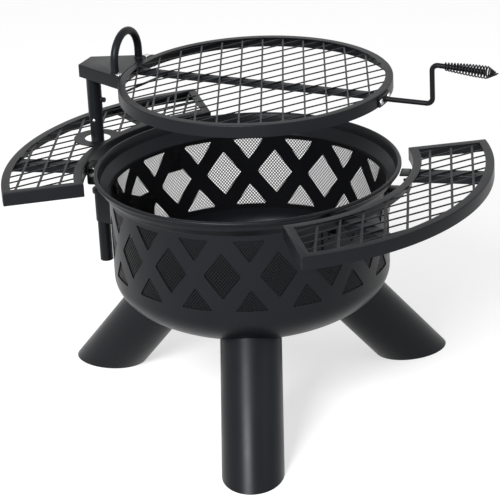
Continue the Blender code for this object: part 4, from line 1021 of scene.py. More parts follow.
def shelf_sheet(name, inset, height):
    """A shelf's outline as a flat face strip at a height, moved inwards by inset, its middle on +X."""
    shelves = sizes("shelves")
    width = shelves.outer - shelves.inner
    centre = (shelves.inner + width / 2, width / 2, height)
    piece = primitive(name, "plane", size=width, location=centre)
    edit(piece)
    remove("VERT", lambda vert: vert.co.y > width / 2)
    pick_all()
    spin(shelves.span, shelves.steps, False)
    outwards()
    if inset:
        pick("FACE", lambda face: True)
        bpy.ops.mesh.inset(thickness=inset, use_even_offset=True, use_boundary=True)
        bpy.ops.mesh.select_all(action="INVERT")
        bpy.ops.mesh.delete(type="FACE")
    leave()
    turn(piece, -shelves.span / 2)
    return piece


def shelf_prism(name, inset, low, high):
    """A tool with a shelf's outline, moved inwards by inset, from one height to another."""
    piece = shelf_sheet(name, inset, low)
    edit(piece)
    pick("FACE", lambda face: True)
    pull(z=high - low)
    outwards()
    leave()
    return piece


def post_pin(radius, azimuth, low, high, steps):
    """An upright tool round the post, for a piece that has the post at that azimuth."""
    at = polar(sizes("post").distance, azimuth)
    return pin("round_post", radius, (at.x, at.y, low), (at.x, at.y, high), steps)


class FIREPIT_OT_shelf_frames(bpy.types.Operator):
    """Model the shelves' frames: a folded tray with a window, and on the left a ring round the post"""

    bl_idname = "fire_pit.shelf_frames"
    bl_label = "Shelf frames"

    def execute(self, context):
        shelves = sizes("shelves")
        post = sizes("post")
        bottom = shelves.top - shelves.depth
        above = shelves.top + shelves.depth
        for side, azimuth in (("left", shelves.left), ("right", shelves.right)):
            tray = shelf_sheet(f"shelf_tray_{side}", 0, shelves.top)
            edit(tray)
            pick("EDGE", lambda edge: edge.is_boundary)
            pull(z=-shelves.depth)
            outwards()
            pick("EDGE", lambda edge: len(edge.link_faces) == 2 and edge.calc_face_angle() > FOLD)
            bevel(shelves.bend, FOLD_STEPS)
            leave()
            thicken(tray, shelves.sheet)
            window = shelf_prism("window", shelves.flange, shelves.top - shelves.depth / 2, above)
            tools = [window]
            if side == "left":
                at = post.azimuth - azimuth
                past = above + shelves.depth
                cut(window, post_pin(shelves.ring, at, bottom, past, POST_RING_STEPS), solver="MANIFOLD")
                tools.append(post_pin(shelves.hole, at, bottom, past, POST_HOLE_STEPS))
            for tool in tools:
                cut(tray, tool, solver="MANIFOLD")
            turn(tray, azimuth)
            finish(tray, "fire_pit", "powder_coat", f"shelf_frame_{side}")
        return {"FINISHED"}


def expanded_metal(name, angles, spacings, strands, phase, centre, top):
    """Crossing strands of expanded metal as one sheet of frames, its top at a height.

    The grid is inset face by face, then turned, stretched and turned to the strands' directions.
    """
    nets = sizes("nets")
    skew = sin(angles[0] - angles[1])
    width = spacings[0]
    along = strands[0] * spacings[1] / strands[1]
    piece = primitive(
        name, "grid", x_subdivisions=NET_CELLS, y_subdivisions=NET_CELLS, size=1,
        scale=(NET_CELLS * width, NET_CELLS * along, 1),
    )
    edit(piece, "FACE")
    pick_all()
    bpy.ops.mesh.inset(thickness=strands[0] / 2, use_individual=True, use_even_offset=True)
    bpy.ops.mesh.delete(type="FACE")
    leave()
    first = Vector((cos(angles[0]), sin(angles[0])))
    second = Vector((cos(angles[1]), sin(angles[1])))
    stretched = np.array(
        [
            [second.x * spacings[0] / skew / width, first.x * spacings[1] / skew / along],
            [second.y * spacings[0] / skew / width, first.y * spacings[1] / skew / along],
        ]
    )
    left, factors, right = np.linalg.svd(stretched)
    if np.linalg.det(left) < 0:
        left[:, 1] *= -1
        right[1, :] *= -1
    turn(piece, atan2(right[1, 0], right[0, 0]))
    place(piece, Matrix.Diagonal((factors[0], factors[1], 1, 1)))
    turn(piece, atan2(left[1, 0], left[0, 0]))
    normals = np.array([[sin(a), -cos(a)] for a in angles])
    origin = np.linalg.solve(normals, np.array(phase))
    cell = stretched * np.array([width, along])
    steps = np.linalg.solve(cell, np.array(centre[:2]) - origin)
    corner = origin + cell @ np.round(steps)
    place(piece, Matrix.Translation((corner[0], corner[1], top)))
    edit(piece)
    outwards()
    leave()
    thicken(piece, nets.thickness)
    soften(piece, nets.edge)
    return piece


class FIREPIT_OT_shelf_nets(bpy.types.Operator):
    """Model the expanded metal under the shelves' flanges"""

    bl_idname = "fire_pit.shelf_nets"
    bl_label = "Shelf meshes"

    def execute(self, context):
        shelves = sizes("shelves")
        nets = sizes("nets")
        top = shelves.top - shelves.sheet - GAP
        low = top - 2 * nets.thickness
        high = top + nets.thickness
        for side, azimuth in (("left", shelves.left), ("right", shelves.right)):
            net = expanded_metal(
                f"shelf_net_{side}",
                (nets.shelf_first, nets.shelf_second),
                (nets.shelf_spacing_first, nets.shelf_spacing_second),
                (nets.shelf_strand_first, nets.shelf_strand_second),
                SHELF_PHASES[side],
                polar((shelves.inner + shelves.outer) / 2, azimuth),
                top,
            )
            outline = shelf_prism("outline", shelves.sheet + nets.inset, low, high)
            turn(outline, azimuth)
            if side == "left":
                hole = (shelves.ring + shelves.hole) / 2
                ends = (low - nets.thickness, high + nets.thickness)
                cut(outline, post_pin(hole, sizes("post").azimuth, *ends, POST_HOLE_STEPS))
            cut(net, outline, "INTERSECT")
            finish(net, "fire_pit", "powder_coat", f"shelf_mesh_{side}")
        return {"FINISHED"}


def seat(point, direction):
    """The matrix that takes a bolt modelled along -Z to a point, so that it points along a direction."""
    turned_to = Vector(direction).to_track_quat("-Z", "Y").to_matrix().to_4x4()
    return Matrix.Translation(point) @ turned_to


def hexagon(name, radius, low, high, chamfer_top):
    """A bolt's head or nut, with the corners of its top or of its bottom chamfered by a cone."""
    flat = radius * cos(pi / 6)
    slope = (radius - flat) * CHAMFER_SLOPE
    clear = 2 * radius
    if chamfer_top:
        profile = [(clear, low - MERGE), (clear, low), (radius + MERGE, high - slope), (flat, high + MERGE)]
    else:
        profile = [(flat, low - MERGE), (radius + MERGE, low + slope), (clear, high), (clear, high + MERGE)]
    piece = pin(name, radius, (0, 0, low), (0, 0, high), 6)
    cut(piece, turned("cone", profile, CHAMFER_STEPS, on_axis=True), "INTERSECT")
    return piece


def hex_bolt(grip, tail=0.0):
    """A hex bolt along -Z through sheets of a total thickness grip, with its nut and, past it, its thread."""
    fasteners = sizes("fasteners")
    shank = fasteners.shank
    under = -grip - GAP
    threaded = fasteners.nut_height + tail
    head = hexagon("head", fasteners.head, GAP, GAP + fasteners.head_height, True)
    nut = hexagon("nut", fasteners.nut, under - fasteners.nut_height, under, False)
    profile = [(shank, GAP * 2), (shank, under + GAP)]
    if tail:
        threads = round(threaded / THREAD_PITCH)
        for i in range(threads):
            top = under - i * threaded / threads
            profile += [(shank * THREAD_ROOT, top), (shank, top - THREAD_PITCH / 2)]
        profile.append((shank * THREAD_END, under - threaded))
    else:
        profile.append((shank, under - threaded + GAP))
    return join("hex", [head, nut, turned("shank", profile, SHANK_STEPS, on_axis=True)])


def pan_screw(grip):
    """A pan-head screw along -Z with a cross recess, and the nut under the sheets of thickness grip."""
    fasteners = sizes("fasteners")
    tall = fasteners.head_height * PAN_HEIGHT
    profile = [(fasteners.head, GAP), (fasteners.head, GAP + tall * PAN_EDGE)]
    for a in DOME:
        profile.append((fasteners.head * cos(a), GAP + tall * (PAN_EDGE + (1 - PAN_EDGE) * sin(a))))
    head = turned("head", profile, HEAD_STEPS, on_axis=True)
    reach = fasteners.head * RECESS_REACH
    half = fasteners.head * RECESS_HALF
    bottom = GAP + tall * RECESS_FLOOR
    for x, y in ((reach, half), (half, reach)):
        cut(head, block("recess", (-x, -y, bottom), (x, y, 2 * tall)))
    under = -grip - GAP
    end = under - fasteners.nut_height
    shank = pin("shank", fasteners.shank, (0, 0, GAP * 2), (0, 0, end + GAP), SHANK_STEPS)
    nut = hexagon("nut", fasteners.nut, end, under, False)
    return join("pan", [head, shank, nut])


class FIREPIT_OT_shelf_arms(bpy.types.Operator):
    """Model the channels that run under the shelves' meshes"""

    bl_idname = "fire_pit.shelf_arms"
    bl_label = "Shelf arms"

    def execute(self, context):
        shelves = sizes("shelves")
        carriers = sizes("carriers")
        start = shelves.inner + shelves.sheet + GAP
        half = carriers.width / 2
        end = sqrt((shelves.outer - shelves.sheet - GAP * 2) ** 2 - half**2) - ARM_SHORT
        top = shelves.top - shelves.sheet - sizes("nets").thickness - 2 * GAP
        low = (start, -half, top - carriers.depth)
        arm = channel("channel", low, (end, half, top), carriers.sheet, 2 * carriers.sheet)
        azimuths = {f"shelf_arm_{which}": azimuth for which, azimuth in CARRIERS.items()}
        finish_copies(arm, "fire_pit", "powder_coat", round_bowl(azimuths))
        return {"FINISHED"}


def bracket_face():
    """The distance from the bowl's axis of a bracket's upright outer face, just inside the shelf's wall."""
    half = sizes("carriers").strap_width / 2
    return sqrt((sizes("shelves").inner - GAP * 3) ** 2 - half**2) - ARM_SHORT


class FIREPIT_OT_shelf_brackets(bpy.types.Operator):
    """Model the bent straps between the bowl and the shelves"""

    bl_idname = "fire_pit.shelf_brackets"
    bl_label = "Shelf brackets"

    def execute(self, context):
        bowl = sizes("bowl")
        carriers = sizes("carriers")
        sheet = carriers.strap_sheet
        wall = bowl.radius + GAP + sheet / 2
        riser = bracket_face() - sheet / 2
        lug = bowl.radius + bowl.rim_overhang + 2 * GAP
        bottom = carriers.bend - carriers.wall_plate
        bend = carriers.bend + sheet / 2
        top = sizes("shelves").top - carriers.below_shelf - sheet / 2
        corners = [(wall, bottom), (wall, bend), (riser, bend), (riser, top), (lug, top)]
        route = rounded([Vector(corner) for corner in corners], sheet * BRACKET_BEND)
        bracket = strap("strap", route, carriers.strap_width / 2)
        thicken(bracket, sheet, 0.0)
        soften(bracket, sheet / STRAP_BY_EDGE)
        azimuths = {f"shelf_bracket_{which}": azimuth for which, azimuth in CARRIERS.items()}
        finish_copies(bracket, "fire_pit", "black_wire", round_bowl(azimuths))
        return {"FINISHED"}


def leg_bolt_places(leg):
    """Points and outward directions, on the bowl's underside, of the two bolts that hold a leg."""
    bowl = sizes("bowl")
    legs = sizes("legs")
    seat_radius = legs.foot_radius - leg_seat() * tan(legs.tilt)
    radius = hypot(seat_radius, legs.bolt_spread)
    height = bowl.wall_bottom - bowl.bottom_depth * sqrt(1 - (radius / bowl.radius) ** 2)
    steep = (bowl.wall_bottom - height) / bowl.bottom_depth**2
    slope = Vector((radius / bowl.radius**2, 0, -steep)).normalized()
    places = []
    for side in (-1, 1):
        around = legs.first + leg * 2 * pi / len(LEGS) + side * atan2(legs.bolt_spread, seat_radius)
        normal = Vector((slope.x * cos(around), slope.x * sin(around), slope.z))
        places.append((polar(radius, around, height), normal))
    return places


def inward_seat(radius, azimuth, height):
    """The matrix that takes a bolt modelled along -Z to a place, so that it points at the Z axis."""
    return seat(polar(radius, azimuth, height), -polar(1, azimuth))


class FIREPIT_OT_bolts(bpy.types.Operator):
    """Model the hex bolts of the legs, the brackets and the post's holder"""

    bl_idname = "fire_pit.bolts"
    bl_label = "Bolts"

    def execute(self, context):
        bowl = sizes("bowl")
        shelves = sizes("shelves")
        carriers = sizes("carriers")
        post = sizes("post")
        fasteners = sizes("fasteners")
        leg_bolts, wall_bolts, shelf_bolts, holder_bolts = {}, {}, {}, {}
        for leg, node in enumerate(LEGS):
            for number, (point, normal) in enumerate(leg_bolt_places(leg)):
                inside = point - normal * (bowl.sheet + fasteners.seat_room)
                leg_bolts[f"{node}_bolt_{number + 1}"] = seat(inside, normal)
        for which, azimuth in CARRIERS.items():
            node = f"shelf_bracket_{which}"
            face = bowl.radius + GAP + carriers.strap_sheet
            for number, below in enumerate((carriers.upper_bolt, carriers.lower_bolt)):
                wall_bolts[f"{node}_bolt_{number + 1}"] = inward_seat(face, azimuth, carriers.bend - below)
            height = shelves.top - carriers.shelf_bolt
            shelf_bolts[f"{node}_shelf_bolt"] = inward_seat(shelves.inner + shelves.sheet, azimuth, height)
        for number, side in enumerate((-1, 1)):
            azimuth = post.azimuth + side * asin(post.holder_bolt / bowl.radius)
            face = bowl.radius + GAP + post.holder_sheet
            height = post.holder_top - post.holder_bolt_depth
            holder_bolts[f"post_holder_bolt_{number + 1}"] = inward_seat(face, azimuth, height)
        through = bowl.sheet + 2 * GAP + fasteners.seat_room
        shelf_grip = shelves.sheet + shelves.inner - bracket_face() + carriers.strap_sheet
        for grip, tail, places in (
            (through + fasteners.leg_plate, 0.0, leg_bolts),
            (through + carriers.strap_sheet, 0.0, wall_bolts),
            (shelf_grip, fasteners.tail, shelf_bolts),
            (through + post.holder_sheet, 0.0, holder_bolts),
        ):
            finish_copies(hex_bolt(grip, tail), "fire_pit", "black_wire", places, smooth=30)
        return {"FINISHED"}


def hoop(name, inner, outer, bottom, top, edge):
    """A turned tube or ring round the post's axis, its outer edges bevelled."""
    profile = [
        (inner, top), (outer - edge, top), (outer, top - edge),
        (outer, bottom + edge), (outer - edge, bottom), (inner, bottom),
    ]
    return turned(name, profile, sizes("post").steps)


def button_height():
    """The height of the snap button, just under the sleeve."""
    sleeve = sizes("sleeve")
    return sleeve.bottom - GAP - sleeve.button_radius


class FIREPIT_OT_post(bpy.types.Operator):
    """Model the post, with the snap button's hole, and its collar"""

    bl_idname = "fire_pit.post"
    bl_label = "Post and collar"

    def execute(self, context):
        post = sizes("post")
        sleeve = sizes("sleeve")
        at = Matrix.Translation(polar(post.distance, post.azimuth))
        inner = post.radius - post.sheet
        pipe = hoop("post_tube", inner, post.radius, post.bottom, post.top, post.sheet / 3)
        start = Vector((0, 0, button_height()))
        end = start + polar(2 * post.radius, sleeve.button_azimuth)
        cut(pipe, pin("hole", sleeve.button_radius + GAP, start, end, HOLE_STEPS))
        place(pipe, at)
        finish(pipe, "post", "powder_coat", "post")
        bottom = post.holder_top + GAP
        top = bottom + post.collar_height
        outer = post.radius + post.collar_wall
        collar = hoop("collar_ring", post.radius + GAP, outer, bottom, top, post.collar_wall / 5)
        place(collar, at)
        finish(collar, "post", "powder_coat", "post_collar")
        return {"FINISHED"}


class FIREPIT_OT_post_holder(bpy.types.Operator):
    """Model the strap round the post, with its flanges along the bowl's wall"""

    bl_idname = "fire_pit.post_holder"
    bl_label = "Post holder"

    def execute(self, context):
        post = sizes("post")
        sheet = post.holder_sheet
        wall = sizes("bowl").radius + GAP + sheet / 2
        side = post.radius + GAP + sheet / 2
        flange = arc((0, 0), wall, asin(post.holder_flange / wall), asin((side + sheet) / wall), 8)
        corner = Vector((wall, side))
        loop = arc((post.distance, 0), side, pi / 2, 0, 20)
        neck = rounded([flange[-1], corner, Vector((post.distance, side))], sheet)
        line = flange[:-1] + neck[:-1] + loop
        line += [Vector((point.x, -point.y)) for point in reversed(line[:-1])]
        half = (post.holder_top - post.holder_bottom) / 2
        holder = strap("holder_strap", line, half, post.holder_bottom + half, upright=True)
        thicken(holder, sheet, 0.0)
        soften(holder, sheet / STRAP_BY_EDGE)
        turn(holder, post.azimuth)
        finish(holder, "fire_pit", "powder_coat", "post_holder")
        return {"FINISHED"}


def lift_place():
    """The matrix that takes the grate's own axes to their place on the post."""
    post = sizes("post")
    at = polar(post.distance, post.azimuth)
    return Matrix.Translation(at) @ Matrix.Rotation(sizes("grate").azimuth, 4, "Z")


def along_x(x, z, y=0.0):
    """The matrix that takes a piece modelled along Z to a place, so that it points along X."""
    return Matrix.Translation((x, y, z)) @ Matrix.Rotation(pi / 2, 4, "Y")


class FIREPIT_OT_sleeve(bpy.types.Operator):
    """Model the sleeve on the post, with the weld at its top and the thumb screw's nut"""

    bl_idname = "fire_pit.sleeve"
    bl_label = "Sleeve"

    def execute(self, context):
        sleeve = sizes("sleeve")
        inner = sizes("post").radius + GAP
        outer = inner + sleeve.sheet
        top = sizes("grate").top - sizes("arm").sheet - GAP
        edge = sleeve.sheet / 3
        weld = sleeve.sheet * SLEEVE_WELD
        profile = [
            (inner, top), (outer + weld, top), (outer + weld / 3, top - weld / 3), (outer, top - weld),
            (outer, sleeve.bottom + edge), (outer - edge, sleeve.bottom), (inner, sleeve.bottom),
        ]
        pipe = turned("sleeve_tube", profile, sizes("post").steps)
        height = sleeve.bottom + sleeve.thumb_above_end
        bore = sleeve.thumb_radius + GAP
        cut(pipe, pin("hole", bore, (0, 0, height), (2 * outer, 0, height), HOLE_STEPS))
        sunk = sleeve.sheet / 2
        nut = hexagon("nut", sleeve.nut_radius, 0, sleeve.nut_length + sunk, True)
        reach = 2 * sleeve.nut_length
        cut(nut, pin("bore", bore, (0, 0, -reach), (0, 0, reach), HOLE_STEPS))
        place(nut, along_x(outer - sunk, height))
        pipe = join("sleeve_tube", [pipe, nut])
        place(pipe, lift_place())
        finish(pipe, "grate", "powder_coat", "grate_sleeve")
        return {"FINISHED"}


class FIREPIT_OT_thumb_screw(bpy.types.Operator):
    """Model the thumb screw, with its knurled knob"""

    bl_idname = "fire_pit.thumb_screw"
    bl_label = "Thumb screw"

    def execute(self, context):
        sleeve = sizes("sleeve")
        edge = sleeve.sheet / 3
        shank = sleeve.thumb_radius
        crest = sleeve.knob_radius
        knob = sleeve.nut_length + 2 * GAP
        end = knob + sleeve.knob_length
        profile = [
            (shank, GAP), (shank, knob), (crest - edge, knob), (crest, knob + edge),
            (crest, end - 2 * edge), (crest - 2 * edge, end), (crest / 2, end - edge),
        ]
        screw = turned("thumb_screw_knob", profile, KNURLS * 4, on_axis=True)

        def in_groove(vert):
            """Whether a vertex lies on the knob's crest where a groove goes: two steps of each four."""
            step = round(atan2(vert.co.y, vert.co.x) / (2 * pi) * KNURLS * 4)
            return vert.co.xy.length > crest - edge / 2 and step % 4 < 2

        edit(screw)
        pick("VERT", in_groove)
        stretch(x=KNURL_ROOT, y=KNURL_ROOT)
        leave()
        outer = sizes("post").radius + GAP + sleeve.sheet
        place(screw, along_x(outer, sleeve.bottom + sleeve.thumb_above_end))
        place(screw, lift_place())
        finish(screw, "thumb_screw", "black_wire", "thumb_screw", smooth=25)
        return {"FINISHED"}


class FIREPIT_OT_snap_button(bpy.types.Operator):
    """Model the snap button under the sleeve, with its spring leaf in the post"""

    bl_idname = "fire_pit.snap_button"
    bl_label = "Snap button"

    def execute(self, context):
        post = sizes("post")
        sleeve = sizes("sleeve")
        tip = post.radius + sleeve.button_proud
        back = post.radius - post.sheet - 2 * sleeve.leaf_sheet
        radius = sleeve.button_radius
        dome = radius * BUTTON_DOME
        profile = [(radius, back), (radius, tip - dome)]
        profile += [(radius * cos(a), tip - dome * (1 - sin(a))) for a in DOME]
        button = turned("snap_button_pin", profile, HOLE_STEPS, on_axis=True)
        low = (-radius, -sleeve.leaf_length, back - sleeve.leaf_sheet)
        leaf = block("leaf", low, (radius, radius, back - GAP / 3))
        soften(leaf, sleeve.leaf_sheet / 4)
        button = join("snap_button_pin", [button, leaf])
        outwards_turn = polar(1, sleeve.button_azimuth).to_track_quat("Z", "Y").to_matrix().to_4x4()
        at = polar(post.distance, post.azimuth, button_height())
        place(button, Matrix.Translation(at) @ outwards_turn)
        finish(button, "snap_button", "zinc_steel", "snap_button", smooth=30)
        return {"FINISHED"}


def ring_edge(sideways):
    """The distance from the post, along the arm, at which the ring's outer wall is met."""
    return sizes("post").distance - sqrt(sizes("grate").radius ** 2 - sideways**2)


class FIREPIT_OT_arm(bpy.types.Operator):
    """Model the grate's arm: a tapered channel that meets the ring, with its two screws"""

    bl_idname = "fire_pit.arm"
    bl_label = "Grate arm"

    def execute(self, context):
        grate = sizes("grate")
        arm = sizes("arm")
        reach = sizes("post").distance
        cleared = grate.radius + arm.gap
        meet = reach - sqrt(cleared**2 - (arm.front_width / 2) ** 2)
        front = meet + ARM_PAST
        past_share = (front + arm.back) / (meet + arm.back)
        end_half = (arm.back_width + (arm.front_width - arm.back_width) * past_share) / 2
        back_half = arm.back_width / 2
        low = (-arm.back, -back_half, grate.top - arm.depth)
        plate = block("arm_channel", low, (front, back_half, grate.top))
        edit(plate)
        pick("VERT", lambda vert: vert.co.x > 0)
        stretch(y=end_half / back_half)
        remove("FACE", lambda face: face.normal.z < -FACING or face.normal.x > FACING)
        pick("EDGE", lambda edge: not edge.is_boundary)
        bevel(arm.bend)
        leave()
        thicken(plate, arm.sheet)
        low = Vector((reach, 0, grate.top - 2 * arm.depth))
        high = Vector((reach, 0, grate.top + 2 * arm.depth))
        cut(plate, pin("ring", cleared, low, high, grate.steps))
        soften(plate, arm.sheet / 8, segments=1, limit=60)
        place(plate, lift_place())
        finish(plate, "grate", "powder_coat", "grate_arm")
        along = ring_edge(arm.screw_spread) - arm.screw_from_ring
        places = {}
        for side, end in ((-1, "front"), (1, "back")):
            head = lift_place() @ Vector((along, side * arm.screw_spread, grate.top))
            places[f"arm_screw_{end}"] = seat(head, (0, 0, -1))
        finish_copies(pan_screw(2 * arm.sheet + GAP), "grate", "zinc_steel", places, smooth=30)
        return {"FINISHED"}


def weld_bead(radius, width, steps):
    """A weld bead round a bar of some radius, standing on z = 0."""
    profile = [(radius - GAP, 0), (radius - GAP, width)]
    profile += [(radius + width * out, width * up) for out, up in WELD_LINE]
    return turned("weld", profile, steps)


class FIREPIT_OT_lifting_handle(bpy.types.Operator):
    """Model the bent tube across the arm, with the weld beads at its feet"""

    bl_idname = "fire_pit.lifting_handle"
    bl_label = "Lifting handle"

    def execute(self, context):
        arm = sizes("arm")
        along = ring_edge(0) - arm.from_ring
        low = sizes("grate").top + GAP
        bend = low + arm.straight
        points = [(along, -arm.spread, low)]
        points += [(along, point.x, bend + point.y) for point in arc((0, 0), arm.spread, pi, 0, 40)]
        points.append((along, arm.spread, low))
        pieces = [tube("lifting_loop", arm.tube, points, LOOP_STEPS)]
        for side in (-1, 1):
            weld = weld_bead(arm.tube, arm.tube / 4, LOOP_STEPS)
            place(weld, Matrix.Translation((along, side * arm.spread, low)))
            pieces.append(weld)
        loop = join("lifting_loop", pieces)
        place(loop, lift_place())
        finish(loop, "grate", "powder_coat", "lifting_handle")
        return {"FINISHED"}


class FIREPIT_OT_ring(bpy.types.Operator):
    """Model the grate's ring with the ears that the arm is screwed to"""

    bl_idname = "fire_pit.ring"
    bl_label = "Grate ring"

    def execute(self, context):
        grate = sizes("grate")
        arm = sizes("arm")
        outer = grate.radius
        inner = outer - grate.sheet
        lip = outer - grate.flange
        bottom = grate.top - grate.wall
        under = grate.top - grate.sheet
        upper = [Vector((lip, grate.top)), Vector((outer, grate.top)), Vector((outer, bottom))]
        lower = [Vector((inner, bottom)), Vector((inner, under)), Vector((lip, under))]
        profile = rounded(upper, grate.bend) + rounded(lower, grate.bend / 4)
        ring = turned("ring_hoop", profile, grate.steps)
        place(ring, Matrix.Translation((sizes("post").distance, 0, 0)))
        pieces = [ring]
        ear_top = grate.top - arm.sheet - GAP
        front = ring_edge(arm.screw_spread)
        half = grate.ear_width / 2

        def at_free_end(edge):
            """Whether an edge of an ear is upright and at the end away from the ring."""
            one, other = (vert.co for vert in edge.verts)
            return abs(one.z - other.z) > GAP and (one.x + other.x) / 2 < front

        for side in (-1, 1):
            across = side * arm.screw_spread
            low = (front - grate.ear_length, across - half, ear_top - arm.sheet)
            ear = block("ear", low, (front + grate.sheet / 2, across + half, ear_top))
            edit(ear)
            pick("EDGE", at_free_end)
            bevel(half * EAR_ROUNDING)
            leave()
            pieces.append(ear)
        ring = join("ring_hoop", pieces)
        place(ring, lift_place())
        finish(ring, "grate", "powder_coat", "grate_ring")
        return {"FINISHED"}


class FIREPIT_OT_grate_net(bpy.types.Operator):
    """Model the expanded metal of the grate"""

    bl_idname = "fire_pit.grate_net"
    bl_label = "Grate mesh"

    def execute(self, context):
        grate = sizes("grate")
        nets = sizes("nets")
        top = grate.top - grate.sheet - GAP
        net = expanded_metal(
            "grate_net",
            (nets.grate_first, nets.grate_second),
            (nets.grate_spacing_first, nets.grate_spacing_second),
            (nets.grate_strand_first, nets.grate_strand_second),
            GRATE_PHASE,
            (0, 0, 0),
            top,
        )
        low = (0, 0, top - 2 * nets.thickness)
        high = (0, 0, top + nets.thickness)
        cut(net, pin("disc", grate.radius - grate.sheet - nets.inset, low, high, grate.steps), "INTERSECT")
        place(net, Matrix.Translation(lift_place() @ Vector((sizes("post").distance, 0, 0))))
        finish(net, "grate", "powder_coat", "grate_mesh")
        return {"FINISHED"}


class FIREPIT_OT_crossbar(bpy.types.Operator):
    """Model the crossbar and the brace under the grate"""

    bl_idname = "fire_pit.crossbar"
    bl_label = "Crossbar and brace"

    def execute(self, context):
        grate = sizes("grate")
        centre = sizes("post").distance
        top = grate.top - grate.sheet - sizes("nets").thickness - 2 * GAP
        room = grate.radius - grate.sheet - 2 * GAP - ARM_SHORT
        half = grate.bar_width / 2
        reach = sqrt(room**2 - half**2)
        low = (-reach, -half, top - grate.bar_depth)
        bend = grate.bar_sheet * BAR_BEND
        bar = channel("grate_channel", low, (reach, half, top), grate.bar_sheet, bend)
        place(bar, lift_place() @ Matrix.Translation((centre, 0, 0)))
        finish(bar, "grate", "powder_coat", "grate_crossbar")
        direction = Vector((-cos(grate.brace_angle), -sin(grate.brace_angle)))
        start = Vector((grate.brace_start - grate.radius, -half - GAP))
        along = start.dot(direction)
        thin = grate.brace_width / 2
        end = -along + sqrt(along**2 + (room - thin) ** 2 - start.length_squared)
        first = thin / tan(grate.brace_angle)
        brace = block("brace_strip", (first, -thin, top - grate.brace_depth), (end, thin, top))
        soften(brace, grate.brace_depth / STRAP_BY_EDGE)
        turn(brace, atan2(direction.y, direction.x))
        place(brace, lift_place() @ Matrix.Translation((centre + start.x, start.y, 0)))
        finish(brace, "grate", "black_wire", "grate_brace")
        return {"FINISHED"}


def rod_height():
    """The height at which the handle's rod leaves its plate."""
    return sizes("grate").top - sizes("handle").below_grate


def riser_place():
    """The distance of the rod's riser from the post, along the arm."""
    return sizes("post").distance + sizes("grate").radius + sizes("handle").riser


def grip_place(along):
    """A point of the grip's middle line, along from the riser, as (x, z)."""
    handle = sizes("handle")
    bend_x = handle.bend * (1 + sin(handle.droop))
    bend_z = handle.bend * (cos(handle.droop) - 1)
    fall = (along - bend_x) * tan(handle.droop)
    return riser_place() + along, rod_height() + handle.rise + bend_z - fall


class FIREPIT_OT_handle_plate(bpy.types.Operator):
    """Model the curved plate on the grate's ring, with its two screws"""

    bl_idname = "fire_pit.handle_plate"
    bl_label = "Handle plate"

    def execute(self, context):
        grate = sizes("grate")
        handle = sizes("handle")
        centre = Vector((sizes("post").distance, 0))
        turn_half = handle.plate_width / 2 / grate.radius
        middle = grate.radius + GAP + handle.plate_sheet / 2
        line = [point + centre for point in arc((0, 0), middle, -turn_half, turn_half, 12)]
        plate = strap("handle_plate", line, handle.plate_height / 2, rod_height(), upright=True)
        edit(plate)
        pick("VERT", lambda vert: min(abs(vert.co.y - end.y) for end in (line[0], line[-1])) < MERGE)
        bevel(handle.plate_corner, affect="VERTICES")
        leave()
        thicken(plate, handle.plate_sheet, 0.0)
        soften(plate, handle.plate_sheet / STRAP_BY_EDGE)
        place(plate, lift_place())
        finish(plate, "grate", "powder_coat", "handle_bracket")
        places = {}
        for number, side in enumerate((-1, 1)):
            out = polar(1, side * handle.screw_spread / grate.radius)
            head = Vector((*centre, rod_height())) + out * (grate.radius + GAP + handle.plate_sheet)
            places[f"handle_screw_{number + 1}"] = seat(lift_place() @ head, lift_place().to_3x3() @ -out)
        grip = handle.plate_sheet + grate.sheet + GAP + sizes("fasteners").seat_room
        finish_copies(pan_screw(grip), "grate", "zinc_steel", places, smooth=30)
        return {"FINISHED"}


class FIREPIT_OT_handle_rod(bpy.types.Operator):
    """Model the handle's bent rod, with the weld bead at its plate"""

    bl_idname = "fire_pit.handle_rod"
    bl_label = "Handle rod"

    def execute(self, context):
        handle = sizes("handle")
        bend = handle.bend
        low = rod_height()
        high = low + handle.rise
        riser = riser_place()
        start = sizes("post").distance + sizes("grate").radius + 2 * GAP + handle.plate_sheet
        points = [Vector((start, low))]
        points += arc((riser - bend, low + bend), bend, -pi / 2, 0, 10)
        points += arc((riser + bend, high - bend), bend, pi, pi / 2 - handle.droop, 10)
        points.append(Vector(grip_place(handle.rod_end)))
        rod = tube("bent_rod", handle.rod, [(x, 0, z) for x, z in points], ROD_STEPS)
        weld = weld_bead(handle.rod, handle.rod / 3, ROD_STEPS)
        place(weld, along_x(start, low))
        rod = join("bent_rod", [rod, weld])
        place(rod, lift_place())
        finish(rod, "grate", "black_wire", "handle_rod")
        return {"FINISHED"}


class FIREPIT_OT_spring_grip(bpy.types.Operator):
    """Model the grip: one wire wound round the rod, wider and wider, and then closed in a cone"""

    bl_idname = "fire_pit.spring_grip"
    bl_label = "Spring grip"

    def execute(self, context):
        handle = sizes("handle")
        snug = (handle.rod + GAP + handle.wire) / cos(pi / handle.points)
        straight = 2 * handle.wire
        winding = handle.grip_length - 2 * straight - handle.cone_length
        widening = handle.turns * handle.points
        closing = handle.cone_turns * handle.points
        end_radius = handle.wire + GAP
        wire = [(0, snug, 0)]
        for i in range(widening + closing + 1):
            opened = min(i / widening, 1)
            closed = max(i - widening, 0) / closing
            radius = snug + (handle.grip_radius - snug) * sin(opened * pi / 2)
            radius += (end_radius - radius) * closed
            around = 2 * pi * i / handle.points
            along = straight + winding * opened + handle.cone_length * closed
            wire.append((along, radius * cos(around), radius * sin(around)))
        wire.append((wire[-1][0] + straight, wire[-1][1], wire[-1][2]))
        grip = tube("spring_wire", handle.wire, wire, WIRE_STEPS)
        x, z = grip_place(handle.grip_start)
        place(grip, lift_place() @ Matrix.Translation((x, 0, z)) @ Matrix.Rotation(handle.droop, 4, "Y"))
        finish(grip, "grate", "black_wire", "handle_spring_grip", smooth=60)
        return {"FINISHED"}


